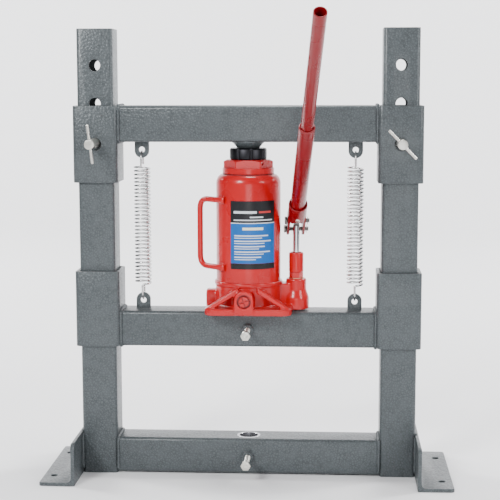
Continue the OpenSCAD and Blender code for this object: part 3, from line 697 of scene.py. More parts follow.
def bare_metal(name, colour, rough, lines=900.0, tint=None, depth=0.00002):
    """Plated or machined metal: tool lines, patchy roughness and a hint of a second tint."""
    material, tree, surface = new_material(name, Metallic=1.0)
    mottle = use_group(tree, "Mottle", Slow=70.0, Fine=900.0)
    tool = use_group(tree, "Tool Lines", Scale=lines)
    dark = tint or shade_of(colour, 0.72)
    base = mixed(tree, mottle["Broad"], dark, colour)
    base = mixed(tree, scaled(tree, tool["Lines"], 0.0, 0.5), base, shade_of(colour, 0.62))
    link(tree, base, surface.inputs["Base Color"])
    link(tree, scaled(tree, mottle["Broad"], rough * 0.75, rough * 1.35), surface.inputs["Roughness"])
    bump(tree, surface, tool["Lines"], depth)
    return material


def moulded_rubber(name, colour):
    material, tree, surface = new_material(name, Metallic=0.0)
    mottle = use_group(tree, "Mottle", Slow=120.0, Fine=1500.0)
    dust = use_group(tree, "Settled Dust", Amount=0.35, Scale=200.0)
    base = mixed(tree, mottle["Broad"], shade_of(colour, 0.7), shade_of(colour, 1.6))
    base = mixed(tree, dust["Mask"], base, (0.2, 0.19, 0.18))
    link(tree, base, surface.inputs["Base Color"])
    link(tree, scaled(tree, mottle["Grain"], 0.55, 0.8), surface.inputs["Roughness"])
    bump(tree, surface, mottle["Grain"], 0.00005)
    return material


def printed_film(name, colour):
    material, tree, surface = new_material(name, Metallic=0.0, Specular_IOR_Level=0.3)
    mottle = use_group(tree, "Mottle", Slow=40.0, Fine=1400.0)
    base = mixed(tree, mottle["Broad"], shade_of(colour, 0.9), shade_of(colour, 1.08))
    base = mixed(tree, scaled(tree, mottle["Grain"], 0.0, 0.18), base, shade_of(colour, 0.6))
    link(tree, base, surface.inputs["Base Color"])
    link(tree, scaled(tree, mottle["Grain"], 0.24, 0.4), surface.inputs["Roughness"])
    bump(tree, surface, mottle["Grain"], 0.000012)
    return material


_finishes = {}


def finishes():
    """Every finish by name, made once."""
    if not _finishes:
        colours = bpy.context.scene.press_colours
        _finishes.update({
            "frame": hammered_enamel("hammered grey enamel", colours.frame_paint),
            "jack": gloss_enamel("red enamel", colours.jack_paint),
            "handle": gloss_enamel("dark red enamel", colours.handle_paint, peel=0.00006),
            "zinc": bare_metal("bright zinc", (0.74, 0.74, 0.72), 0.32, tint=(0.62, 0.6, 0.5)),
            "spring": bare_metal("spring wire", (0.78, 0.78, 0.78), 0.26, lines=2200.0),
            "polished": bare_metal("ground steel", (0.82, 0.83, 0.85), 0.09, lines=3000.0, depth=0.000004),
            # Dark steel for the lever and link pins and the plunger's eye. On the pins it is partly their own dark
            # finish and partly painted shade under the handle socket. On the plunger's eye it is painted shade.
            "pin": bare_metal("dark pin steel and painted shade", (0.2, 0.19, 0.18), 0.3, tint=(0.1, 0.09, 0.085)),
            "black": bare_metal("oiled black steel", (0.035, 0.035, 0.04), 0.36, tint=(0.014, 0.014, 0.016)),
            "honed": bare_metal("honed steel", (0.5, 0.5, 0.52), 0.22, lines=1800.0),
            "rubber": moulded_rubber("seal rubber", (0.02, 0.02, 0.021)),
            "copper": bare_metal("soft copper", (0.72, 0.4, 0.26), 0.3, tint=(0.5, 0.25, 0.16)),
            "film": printed_film("blue film", colours.label_field),
        })
    return _finishes


# ---- settings ----

def colour_setting(name, description, value):
    return bpy.props.FloatVectorProperty(name=name, description=description, subtype="COLOR", size=3,
                                         min=0, max=1, default=value)


def length_setting(name, description, value):
    return bpy.props.FloatProperty(name=name, description=description, unit="LENGTH", default=value,
                                   min=0, precision=5)


class PressColours(bpy.types.PropertyGroup):
    """Colours of the paints and of the label."""
    frame_paint: colour_setting("Frame", "Hammertone enamel of the frame", (0.075, 0.086, 0.091))
    jack_paint: colour_setting("Jack", "Gloss enamel of the jack", (0.45, 0.0, 0.003))
    handle_paint: colour_setting("Handle", "Gloss enamel of the handle and lever", (0.2, 0.0, 0.003))
    label_field: colour_setting("Label field", "Main colour of the jack's label", (0.004, 0.1, 0.36))
    label_dark: colour_setting("Label bands", "Dark bands of the jack's label", (0.008, 0.008, 0.01))
    label_bars: colour_setting("Label bars", "Pale bars on the jack's label", (0.62, 0.66, 0.7))
    floor: colour_setting("Floor", "Floor and backdrop", (0.86, 0.86, 0.87))


class PressSizes(bpy.types.PropertyGroup):
    """Sizes that the pieces share."""
    tube_wall: length_setting("Tube wall", "Wall of the square tube", 0.003)
    tube_corner: length_setting("Tube corner", "Outer corner radius of the square tube", 0.005)
    sleeve_wall: length_setting("Sleeve wall", "Wall of the square sleeves", 0.005)
    sleeve_corner: length_setting("Sleeve corner", "Outer corner radius of the sleeves", 0.006)
    edge: length_setting("Broken edge", "Rounding of cut steel edges", 0.0006)
    bead: length_setting("Weld bead", "Half width of a weld bead", 0.0026)
    hole_drop: length_setting("First hole", "From an upright's top to its first height hole", 0.05)
    hole_pitch: length_setting("Hole pitch", "Pitch of the height holes", 0.0525)
    hole_radius: length_setting("Height hole", "Radius of a height hole", 0.008)
    sleeve_hole: length_setting("Sleeve hole", "Radius of the cross pin's hole in a sleeve", 0.0085)
    bolt_hole: length_setting("Bolt hole", "Radius of the hole behind a clamp nut", 0.0045)
    foot_hole: length_setting("Bench hole", "Radius of a bench bolt hole", 0.00475)
    lug_hole: length_setting("Lug hole", "Radius of the hole in a spring lug", 0.0042)
    wire: length_setting("Spring wire", "Wire diameter of a return spring", 0.0026)
    coils: bpy.props.IntProperty(name="Coils", description="Coils in each return spring", default=32,
                                 min=8, max=60)
    flutes: bpy.props.IntProperty(name="Flutes", description="Flutes round the saddle", default=9,
                                  min=5, max=20)


# ---- shapes shared by several pieces ----

def square_tube(wide, wall, corner, bottom, top, edge):
    inside = wide - 2 * wall
    return plate([rounded_rectangle(wide, wide, corner),
                  rounded_rectangle(inside, inside, max(corner - wall, 0.001))], bottom, top, edge)


def beam(name, node, size):
    """A level square tube, as long as its CAD node."""
    low, high, mid = box(node)
    shape = square_tube(high.z - low.z, size.tube_wall, size.tube_corner, low.x, high.x, size.edge)
    return mesh_object(name, moved(shape, at(0, mid.y, mid.z) @ ALONG_X))


def clamp_hole(node, size):
    """The hole behind a clamp nut, from a beam's front to its middle."""
    _, high, mid = box(node)
    half = high.z - mid.z
    return moved(drill(size.bolt_hole, -half, 0, size.edge), at(0, mid.y, mid.z) @ ALONG_Y)


def capsule(a, b, radius, waist, steps=14):
    """Outline of a link: an eye round each of two points, joined by a straight-sided waist."""
    a, b = Vector(a), Vector(b)
    heading = math.atan2(b.y - a.y, b.x - a.x)
    lead = math.acos(waist / radius)
    points = []
    for centre, start in ((b, heading - math.pi / 2), (a, heading + math.pi / 2)):
        for k in range(steps + 1):
            angle = start + lead + (math.pi - 2 * lead) * k / steps
            points.append(centre + radius * Vector((math.cos(angle), math.sin(angle))))
    return points


def weld_bead(path, half_width):
    """A run of weld with overlapping ripples, half sunk in the corner that it follows."""
    step, ripple = 0.9 * MM, 2.7 * MM
    points, total = [], 0.0
    path = [Vector(p) for p in path]
    for a, b in zip(path, path[1:]):
        pieces = max(1, round((b - a).length / step))
        points += [a.lerp(b, k / pieces) for k in range(pieces)]
        total += (b - a).length
    points.append(path[-1])
    seed = Vector((points[0].x * 40, points[0].z * 40, points[0].y * 40))

    def width(along):
        place = along * total
        wave = 0.1 * math.cos(2 * math.pi * place / ripple)
        drift = 0.14 * noise.noise(seed + Vector((place * 160, 0, 0)))
        return half_width * (0.88 + wave + drift)

    return swept(points, width, sides=8)


def section_path(x, mid, side, corner, open_below=False):
    """The outline of a square tube's end as a path in the plane at x."""
    outline = rounded_rectangle(side, side, corner, steps=4)
    points = [Vector((x, mid.y + p.x, mid.z + p.y)) for p in outline]
    if open_below:
        floor = mid.z - side / 2 + corner
        points = [Vector((x, mid.y + side / 2, floor))] + [p for p in points if p.z > mid.z] + \
                 [Vector((x, mid.y - side / 2, floor))]
        return points
    return points + points[:2]


# ---- the frame ----

class PRESS_OT_uprights(bpy.types.Operator):
    """Two square-tube uprights with their height holes"""
    bl_idname = "press.uprights"
    bl_label = "Uprights"

    def execute(self, context):
        size = context.scene.press_sizes
        for side in SIDES:
            low, high, mid = box(side + "_upright")
            wide = high.x - low.x
            tube = square_tube(wide, size.tube_wall, size.tube_corner, low.z, high.z, size.edge)
            obj = mesh_object("upright_" + side, moved(tube, at(mid.x, mid.y, 0)))
            holes = []
            for number in range(3):
                height = high.z - size.hole_drop - number * size.hole_pitch
                hole = drill(size.hole_radius, -wide / 2, wide / 2, size.edge)
                holes.append(moved(hole, at(mid.x, mid.y, height) @ ALONG_Y))
            combine(obj, joined(*holes))
            finish(obj, "frame", "frame", side + "_upright")
        return {"FINISHED"}


class PRESS_OT_beams(bpy.types.Operator):
    """The base beam, the sliding beam and the top beam"""
    bl_idname = "press.beams"
    bl_label = "Beams"

    def execute(self, context):
        size = context.scene.press_sizes
        bush_low, bush_high, _ = box("bed_bush")
        bush_hole = (bush_high.x - bush_low.x) / 2 + 0.05 * MM
        obj = beam("beam_base", "base_beam", size)
        combine(obj, drill(bush_hole, bush_low.z, bush_high.z))
        combine(obj, clamp_hole("base_beam", size))
        finish(obj, "frame", "frame", "base_beam")
        obj = beam("beam_sliding", "sliding_beam", size)
        low, _, mid = box("sliding_beam")
        combine(obj, drill(bush_hole, low.z, mid.z))
        combine(obj, clamp_hole("sliding_beam", size))
        finish(obj, "press_beam", "frame", "sliding_beam")
        finish(beam("beam_top", "top_beam", size), "frame", "frame", "top_beam")
        return {"FINISHED"}


class PRESS_OT_sleeves(bpy.types.Operator):
    """Four square sleeves round the uprights: two pinned, two sliding"""
    bl_idname = "press.sleeves"
    bl_label = "Sleeves"

    def execute(self, context):
        size = context.scene.press_sizes
        for side in SIDES:
            pin_low, pin_high, pin = box(side + "_pin")
            pin_radius = (pin_high.x - pin_low.x) / 2
            for kind, body in (("top", "frame"), ("slide", "press_beam")):
                node = f"{side}_{kind}_sleeve"
                low, high, mid = box(node)
                wide = high.x - low.x
                tube = square_tube(wide, size.sleeve_wall, size.sleeve_corner, low.z, high.z, size.edge * 1.5)
                obj = mesh_object(f"sleeve_{kind}_{side}", moved(tube, at(mid.x, mid.y, 0)))
                if kind == "top":
                    height = pin.z - (size.sleeve_hole - pin_radius) + 0.05 * MM
                    hole = drill(size.sleeve_hole, -wide / 2, wide / 2, size.edge)
                    combine(obj, moved(hole, at(mid.x, mid.y, height) @ ALONG_Y))
                finish(obj, body, "frame", node)
        return {"FINISHED"}


def corner_off(radius):
    """An outline that rounds off a corner at the origin, with the material at lower X and Y."""
    out = 4 * MM
    arc = [Vector((-radius + radius * math.sin(a), -radius + radius * math.cos(a)))
           for a in (math.radians(15 * k) for k in range(7))]
    return [Vector((-radius, out))] + arc + [Vector((out, -radius)), Vector((out, out))]


class PRESS_OT_feet(bpy.types.Operator):
    """Two angle-iron feet with bench bolt holes"""
    bl_idname = "press.feet"
    bl_label = "Feet"

    def execute(self, context):
        size = context.scene.press_sizes
        bolts = next(m for m in frame["record"]["mounts"] if m["name"] == "foot_bolts")["dims"]
        for side, sign in SIDES.items():
            low, high, _ = box(side + "_foot")
            thick = 5 * MM
            wide, tall, depth = high.x - low.x, high.z, high.y - low.y
            root = low.x if sign > 0 else high.x
            outline = softened([(0, 0), (wide, 0), (wide, thick), (thick, thick), (thick, tall), (0, tall)],
                               [0.6 * MM, 0.6 * MM, 2.2 * MM, 8 * MM, 2.2 * MM, 0.6 * MM])
            outline = [Vector((root + sign * p.x, p.y)) for p in outline]
            obj = mesh_object("foot_" + side,
                              moved(plate([outline], -depth / 2, depth / 2, size.edge), UPRIGHT_PLANE))
            cutters = []
            for end in (-1, 1):
                leg = [Vector((end * (depth / 2 + p.x), tall + p.y)) for p in corner_off(9 * MM)]
                cutters.append(moved(plate([leg], root - 8 * MM, root + 8 * MM, 0.1 * MM), SIDE_PLANE))
                toe = [Vector((sign * (wide + p.x) + root, end * (depth / 2 + p.y)))
                       for p in corner_off(6 * MM)]
                cutters.append(plate([toe], -5 * MM, 2 * thick, 0.1 * MM))
                hole = drill(size.foot_hole, 0, thick, size.edge)
                cutters.append(moved(hole, at(sign * bolts["spacing_x_mm"] * MM / 2,
                                              end * bolts["spacing_y_mm"] * MM / 2, 0)))
            for cutter in cutters:
                combine(obj, cutter)
            finish(obj, "frame", "frame", side + "_foot")
        return {"FINISHED"}


class PRESS_OT_welds(bpy.types.Operator):
    """Weld beads where tubes, feet, lugs, nuts and the jack's seat meet"""
    bl_idname = "press.welds"
    bl_label = "Weld beads"

    def execute(self, context):
        size = context.scene.press_sizes
        fixed, sliding = [], []
        for node, beads in (("base_beam", fixed), ("top_beam", fixed), ("sliding_beam", sliding)):
            low, high, mid = box(node)
            for x, inward in ((low.x, 1), (high.x, -1)):
                path = section_path(x + inward * size.bead * 0.3, mid, high.z - low.z, size.tube_corner,
                                    open_below=node == "base_beam")
                beads.append(weld_bead(path, size.bead))
        for side, sign in SIDES.items():
            low, high, _ = box(side + "_upright")
            outer = high.x if sign > 0 else low.x
            half = (high.y - low.y) / 2 - size.tube_corner * 0.4
            top = box(side + "_foot")[1].z
            weld_foot, short, inset = 6 * MM, 2 * MM, 3 * MM
            for run in ([(outer, -half, weld_foot), (outer, -half, top - short)],
                        [(outer, -half + inset, top), (outer, half - inset, top)],
                        [(outer, half, top - short), (outer, half, weld_foot)]):
                fixed.append(weld_bead(run, size.bead))
            for node, beads, at_top in ((side + "_top_lug", fixed, True),
                                        (side + "_beam_lug", sliding, False)):
                low, high, _ = box(node)
                root = high.z if at_top else low.z
                for y in (low.y, high.y):
                    beads.append(weld_bead([(low.x, y, root), (high.x, y, root)], size.bead * 0.7))
        for node, beads in (("bed_clamp_nut", fixed), ("beam_clamp_nut", sliding)):
            low, high, mid = box(node)
            ring = circle_points((high.z - low.z) / 2 + 0.4 * MM, 26)
            beads.append(weld_bead([(p.x, high.y, mid.z + p.y) for p in ring + ring[:2]], size.bead * 0.5))
        low, high, _ = box("jack_seat")
        ring = circle_points((high.x - low.x) / 2, 40)
        fixed.append(weld_bead([(p.x, p.y, high.z) for p in ring + ring[:2]], size.bead * 0.8))
        finish(mesh_object("weld_beads_frame", joined(*fixed), 60), "frame", "frame")
        finish(mesh_object("weld_beads_sliding", joined(*sliding), 60), "press_beam", "frame")
        return {"FINISHED"}


class PRESS_OT_bushes(bpy.types.Operator):
    """Tool bushes in the base beam and the sliding beam"""
    bl_idname = "press.bushes"
    bl_label = "Tool bushes"

    def execute(self, context):
        size = context.scene.press_sizes
        bore = next(m for m in frame["record"]["mounts"] if m["name"] == "bed_bore")["dims"]["r_mm"] * MM
        for node, body, beam_node in (("bed_bush", "frame", "base_beam"),
                                      ("tool_bush", "press_beam", "sliding_beam")):
            low, high, _ = box(node)
            outside = (high.x - low.x) / 2
            ring = lathed([(bore, low.z), (outside, low.z), (outside, high.z), (bore, high.z)], 0.8 * MM, 72)
            obj = mesh_object(node.replace("_bush", "_bush_turned"), ring)
            combine(obj, clamp_hole(beam_node, size))
            finish(obj, body, "honed", node)
        return {"FINISHED"}


class PRESS_OT_clamp_bolts(bpy.types.Operator):
    """Weld nuts and the long bolts that clamp a tool's shank"""
    bl_idname = "press.clamp_bolts"
    bl_label = "Clamp bolts and nuts"

    def execute(self, context):
        thread, pitch, depth = 4 * MM, 1.25 * MM, 0.55 * MM
        nut_bore, head_height = 4.1 * MM, 5.5 * MM
        for place, body, bolt_body in (("bed", "frame", "bed_bolt"), ("beam", "press_beam", "beam_bolt")):
            low, high, mid = box(place + "_clamp_nut")
            toward = at(mid.x, 0, mid.z) @ UPRIGHT_PLANE
            nut = hexagon_head(high.z - low.z, -high.y, -low.y, False, bore=nut_bore)
            finish(mesh_object(f"clamp_nut_{place}", moved(nut, toward)), body, "frame",
                   place + "_clamp_nut")
            low, high, _ = box(place + "_clamp_bolt")
            flats = high.z - low.z
            head = -low.y - head_height
            rod = threaded_rod(thread, -high.y, head + MM, pitch, depth, plain=2 * MM)
            bolt = mesh_object(f"clamp_bolt_{place}", moved(rod, toward))
            combine(bolt, moved(hexagon_head(flats, head, -low.y, False), toward), "UNION")
            dish = turned([(0, -low.y - 0.9 * MM), (2.6 * MM, -low.y - 0.5 * MM), (3.6 * MM, -low.y + MM),
                           (0, -low.y + MM)], 40)
            combine(bolt, moved(dish, toward))
            finish(bolt, bolt_body, "zinc", place + "_clamp_bolt")
        return {"FINISHED"}


class PRESS_OT_cross_pins(bpy.types.Operator):
    """Cross pins that hold the top beam, each with a bar through its outer end"""
    bl_idname = "press.cross_pins"
    bl_label = "Cross pins"

    def execute(self, context):
        for side, tilt in (("left", 7), ("right", 44)):
            low, high, mid = box(side + "_pin")
            _, _, bar_mid = box(side + "_pin_bar")
            radius = (high.x - low.x) / 2
            pin = lathed([(0, low.y), (radius, low.y), (radius, high.y - 2 * MM), (radius - 2 * MM, high.y),
                          (0, high.y)], 0.9 * MM, 56)
            obj = mesh_object("cross_pin_" + side, moved(pin, at(mid.x, 0, mid.z) @ ALONG_Y))
            lean = at(*bar_mid) @ Matrix.Rotation(math.radians(-tilt), 4, "Y")
            bar_radius, half = 1.9 * MM, 26.5 * MM
            combine(obj, moved(drill(bar_radius + 0.05 * MM, -radius, radius, 0.4 * MM, 32), lean))
            finish(obj, side + "_cross_pin", "zinc", side + "_pin")
            bar = swept([(0, 0, half * (k / 12 - 1)) for k in range(25)], bar_radius, 20)
            finish(mesh_object("pin_bar_" + side, moved(bar, lean)), side + "_cross_pin", "zinc",
                   side + "_pin_bar")
        return {"FINISHED"}


class PRESS_OT_lugs(bpy.types.Operator):
    """Round-ended lugs that the springs hook into"""
    bl_idname = "press.lugs"
    bl_label = "Spring lugs"

    def execute(self, context):
        size = context.scene.press_sizes
        for side in SIDES:
            for node, body, down in ((side + "_top_lug", "frame", True),
                                     (side + "_beam_lug", "press_beam", False)):
                low, high, mid = box(node)
                radius = (high.x - low.x) / 2
                eye = low.z + radius if down else high.z - radius
                root = high.z if down else low.z
                sign = -1 if down else 1
                outline = [Vector((mid.x - radius, root))]
                outline += [Vector((mid.x - radius * math.cos(a), eye + sign * radius * math.sin(a)))
                            for a in (math.pi * k / 20 for k in range(21))]
                outline.append(Vector((mid.x + radius, root)))
                hole = circle_points(size.lug_hole, 36, (mid.x, hook_height(side, down)))
                shape = moved(plate([outline, hole], -high.y, -low.y, size.edge), UPRIGHT_PLANE)
                finish(mesh_object(f"lug_{'top' if down else 'beam'}_{side}", shape), body, "frame", node)
        return {"FINISHED"}


def hook_height(side, upper):
    """Height of a lug's hole, from the middle of the top lug or just above that of the beam lug."""
    mid = box(side + ("_top_lug" if upper else "_beam_lug"))[2]
    return mid.z if upper else mid.z + 0.5 * MM


class PRESS_OT_jack_seat(bpy.types.Operator):
    """The seat under the top beam that the jack pushes against"""
    bl_idname = "press.jack_seat"
    bl_label = "Jack seat"

    def execute(self, context):
        low, high, mid = box("jack_seat")
        wide = (high.x - low.x) / 2
        seat = lathed([(0, low.z), (11 * MM, low.z), (12 * MM, low.z + 0.8 * MM), (12 * MM, low.z + 2.9 * MM),
                       (15.5 * MM, low.z + 2.9 * MM), (wide, high.z - 2 * MM), (wide, high.z), (0, high.z)],
                      0.5 * MM, 72)
        finish(mesh_object("seat_turned", moved(seat, at(mid.x, mid.y, 0))), "frame", "frame", "jack_seat")
        return {"FINISHED"}


class PRESS_OT_springs(bpy.types.Operator):
    """Close-wound return springs with hooks, built as fixed meshes; on the real press they stretch as the beam
    goes down
    """
    bl_idname = "press.springs"
    bl_label = "Return springs"

    def execute(self, context):
        size = context.scene.press_sizes
        riser, tail, bend = 10.5 * MM, 8 * MM, 3 * MM
        around = 26
        for side in SIDES:
            low, high, mid = box(side + "_spring")
            radius = (high.y - low.y - size.wire) / 2
            top_arc, low_arc = high.z - radius - size.wire / 2, low.z + radius + size.wire / 2
            coil_top, coil_low = top_arc - riser, low_arc + riser

            def hook(centre, sign):
                arc = [Vector((0, radius * math.cos(a), centre + sign * radius * math.sin(a)))
                       for a in (math.pi * k / 18 for k in range(19))]
                return [Vector((0, radius, centre - sign * tail))] + arc

            turns = size.coils * around
            spiral = []
            for i in range(turns + 1):
                angle = math.radians(-90) - 2 * math.pi * i / around
                height = coil_top + (coil_low - coil_top) * i / turns
                spiral.append(Vector((radius * math.cos(angle), radius * math.sin(angle), height)))
            upper, lower = hook(top_arc, 1), hook(low_arc, -1)
            path = upper + softened([upper[-1], spiral[0], spiral[2]], bend, 6, False)[1:]
            path += spiral[3:-3]
            path += softened([spiral[-3], spiral[-1], lower[-1]], bend, 6, False)[:-1]
            path += reversed(lower)
            wire = swept(path, size.wire / 2, 10)
            obj = mesh_object("return_spring_" + side, moved(wire, at(mid.x, 0, 0)), 60, tidy=False)
            obj.data.materials.append(finishes()["spring"])
            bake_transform(obj)
            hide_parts(side + "_spring")
        return {"FINISHED"}


# ---- the jack ----

class PRESS_OT_jack_base(bpy.types.Operator):
    """The cast base: flange, drum, ribs, valve boss, side lug, pump boss and link ears"""
    bl_idname = "press.jack_base"
    bl_label = "Jack base casting"

    grain: bpy.props.FloatProperty(name="Grain", description="Fineness of the casting's mesh", unit="LENGTH",
                                   default=0.0011, min=0.0005)

    def execute(self, context):
        jack, pump, plane = jack_place(), pump_place(), pump_plane()
        pump_x = pump.translation.x
        release = box("release_valve")[2]
        release_height = release.z - box("jack_base")[0].z
        edge_radius, drum, flange_side = 1.2 * MM, 46 * MM, 120 * MM
        arch_radius, arch_height = 13.5 * MM, 21 * MM
        ear_radius, ear_thick, ear_y, ear_z = 7 * MM, 5 * MM, 22 * MM, 28 * MM
        flange = plate([rounded_rectangle(flange_side, flange_side, 13 * MM)], 0, 9 * MM, edge_radius, 3)
        shapes = [moved(flange, at(2 * MM, 0, 0)),
                  turned([(0, MM), (drum, MM), (drum, 38 * MM), (0, 38 * MM)], 96),
                  turned([(0, 34 * MM), (46.6 * MM, 36.6 * MM), (47.6 * MM, 37.6 * MM),
                          (47.6 * MM, 41.6 * MM), (47 * MM, 42.5 * MM), (0, 42.5 * MM)], 96)]
        arch = [(arch_radius * math.cos(a), arch_height + arch_radius * math.sin(a))
                for a in (math.pi * k / 20 for k in range(21))]
        arch = [(release.x + x, z) for x, z in arch + [(-arch_radius, MM), (arch_radius, MM)]]
        shapes.append(moved(plate([arch], 40 * MM, 62 * MM, edge_radius), UPRIGHT_PLANE))
        lug = softened([(-13 * MM, MM), (13 * MM, MM), (13 * MM, 29 * MM), (-13 * MM, 29 * MM)],
                       [0, 0, 8 * MM, 8 * MM])
        shapes.append(moved(plate([lug], -59 * MM, -37 * MM, edge_radius), SIDE_PLANE))
        for edge, foot, tip in ((-58, -47, -11), (62, 51, 15)):
            inward = 1 if edge < 0 else -1
            rib = [(edge * MM, 8 * MM), (foot * MM, 8 * MM), (tip * MM, 30 * MM), (tip * MM, 37 * MM),
                   ((tip - 5 * inward) * MM, 35.5 * MM)]
            for end in (-1, 1):
                middle = end * 47 * MM
                shapes.append(moved(plate([rib], middle - 8 * MM, middle + 8 * MM, edge_radius),
                                    UPRIGHT_PLANE))
        boss = turned([(0, 2 * MM), (18 * MM, 2 * MM), (18 * MM, 18 * MM), (14.3 * MM, 29 * MM),
                       (14.3 * MM, 43.4 * MM), (13 * MM, 44.9 * MM), (0, 44.9 * MM)], 80)
        shapes.append(moved(boss, at(pump_x, 0, 0)))
        bridge = rounded_rectangle(pump_x - 30 * MM, 24 * MM, 2 * MM)
        shapes.append(moved(plate([bridge], MM, 38.5 * MM, edge_radius), at((pump_x + 30 * MM) / 2, 0, 0)))
        link_pin = at(0, ear_y, ear_z)
        ear = [Vector((ear_y + ear_radius * math.cos(a), ear_z + ear_radius * math.sin(a)))
               for a in (math.pi * k / 16 for k in range(17))]
        ear += [Vector((10 * MM, ear_z)), Vector((10 * MM, 5 * MM)), Vector((29 * MM, 5 * MM))]
        to_jack = jack.inverted() @ plane
        for side in (-1, 1):
            middle = side * 6.1 * MM
            shapes.append(moved(plate([ear], middle - ear_thick / 2, middle + ear_thick / 2, 0.8 * MM),
                                to_jack @ SIDE_PLANE))
        obj = cast("jack_base_cast", [moved(shape, jack) for shape in shapes], self.grain, 4)
        well = turned([(0, 26 * MM), (27.05 * MM, 26 * MM), (27.05 * MM, 37.7 * MM), (45.05 * MM, 37.7 * MM),
                       (45.05 * MM, 60 * MM), (0, 60 * MM)], 96)
        combine(obj, moved(well, jack), angle=50)
        pump_bore = turned([(0, 10 * MM), (2 * MM, 10 * MM), (2 * MM, 18 * MM), (8 * MM, 18 * MM),
                            (8 * MM, 60 * MM), (0, 60 * MM)], 48)
        delivery = turned([(0, 50 * MM), (4.5 * MM, 50 * MM), (4.5 * MM, 90 * MM), (0, 90 * MM)], 32)
        valve_bore = turned([(0, 18 * MM), (4.08 * MM, 18 * MM), (4.08 * MM, 56 * MM), (9.2 * MM, 56 * MM),
                             (10.2 * MM, 66 * MM), (0, 66 * MM)], 48)
        link_bore = turned([(0, -14 * MM), (PIN_HOLE, -14 * MM), (PIN_HOLE, 14 * MM), (0, 14 * MM)], 32)
        spine = at(0, 0, 12.2 * MM)
        gap = rounded_rectangle(7.2 * MM, 16 * MM, MM)
        for tool in (moved(pump_bore, pump), moved(delivery, jack @ spine @ ALONG_X),
                     moved(valve_bore, jack @ at(release.x, 0, release_height) @ UPRIGHT_PLANE),
                     moved(link_bore, plane @ link_pin @ ALONG_X),
                     moved(plate([gap], 6 * MM, 40 * MM, 0.2 * MM), plane @ at(0, 23.5 * MM, 0))):
            combine(obj, tool, angle=50)
        finish(obj, "press_beam", "jack", "jack_base")
        return {"FINISHED"}


class PRESS_OT_oil_tank(bpy.types.Operator):
    """The drawn steel tank with its rounded shoulder and filler hole"""
    bl_idname = "press.oil_tank"
    bl_label = "Oil tank"

    def execute(self, context):
        jack = jack_place()
        foot = box("oil_tank")[0].z - jack.translation.z
        outside, wall, neck, opening = TANK_RADIUS, 2.5 * MM, 36 * MM, 33.4 * MM
        shoulder, top = 178 * MM, 191 * MM

        def curve(start, end, rise_from, rise_to, count=12):
            return [(end + (start - end) * math.cos(a), rise_from + (rise_to - rise_from) * math.sin(a))
                    for a in (math.pi / 2 * k / count for k in range(1, count + 1))]

        outer = curve(outside, neck, shoulder, top)
        inner = curve(outside - wall, opening, shoulder, top - wall)
        profile = [(outside - wall, foot + 0.5 * MM), (outside - 0.5 * MM, foot), (outside, foot + 0.5 * MM),
                   (outside, 60 * MM), (outside, 120 * MM), (outside, shoulder)]
        profile += outer + [(opening + 0.5 * MM, top), (opening, top - 0.5 * MM)] + inner[::-1]
        profile += [(outside - wall, shoulder)]
        obj = mesh_object("oil_tank_drawn", moved(turned(profile, 128), jack), 40)
        plug = box("filler_plug")[2]
        hole = drill(4.2 * MM, outside - 6 * MM, outside + 0.2 * MM, 0.3 * MM)
        combine(obj, moved(hole, at(plug.x, 0, plug.z) @ ALONG_Y), angle=40)
        finish(obj, "press_beam", "jack", "oil_tank")
        return {"FINISHED"}


class PRESS_OT_tank_nut(bpy.types.Operator):
    """The hexagon nut that closes the tank, with its collar and skirt"""
    bl_idname = "press.tank_nut"
    bl_label = "Tank nut"

    def execute(self, context):
        flats, turn = 60 * MM, math.radians(3)
        top = box("tank_nut")[1].z - jack_place().translation.z
        slope = math.tan(math.radians(30))

        def outline(angle):
            return hexagon_radius(flats, angle, turn)

        def chamfer(angle):
            return top - max(0, outline(angle) - flats / 2 * 0.99) * slope

        stations = [(27.05, 178), (31.5, 178), (32, 178.5), (32, 191.8), (35.4, 191.8), (36, 192.5),
                    (36, 199.2), (35.3, 200), (35.0, 200)]
        stations = [(r * MM, z * MM) for r, z in stations]
        stations += [(outline, 200 * MM), (outline, chamfer), (flats / 2 * 0.97, top)]
        bore = [(19.7, 211.3), (19.08, 210.7), (19.08, 206), (22.05, 206), (22.05, 202), (19.08, 202),
                (19.08, 187.1), (27.05, 187.1)]
        stations += [(r * MM, z * MM) for r, z in bore]
        obj = mesh_object("tank_nut_turned", moved(turned(stations, 192), jack_place()), 28)
        notch_turn = Matrix.Rotation(math.radians(-49), 4, "Z")
        notch = drill(2.1 * MM, 29 * MM, 40 * MM, 0.2 * MM, 24)
        notch = moved(notch, notch_turn @ at(0, 0, 206 * MM) @ ALONG_X)
        combine(obj, moved(notch, jack_place()), angle=28)
        finish(obj, "press_beam", "jack", "tank_nut")
        return {"FINISHED"}


def curved_patch(start, end, low, high, radius, thick):
    """A thin film wrapped round the tank between two angles and two heights."""
    columns = max(1, math.ceil(abs(end - start) / 3))
    corners, faces = [], []
    for depth in (0, thick):
        for height in (low, high):
            for i in range(columns + 1):
                angle = math.radians(start + (end - start) * i / columns)
                r = radius + depth
                corners.append(Vector((r * math.cos(angle), r * math.sin(angle), height)))
    row = columns + 1
    for i in range(columns):
        for a, b in ((0, row), (row, 3 * row), (3 * row, 2 * row), (2 * row, 0)):
            faces.append([a + i, a + i + 1, b + i + 1, b + i])
    faces += [[0, row, 3 * row, 2 * row], [columns, 2 * row + columns, 3 * row + columns, row + columns]]
    return corners, faces


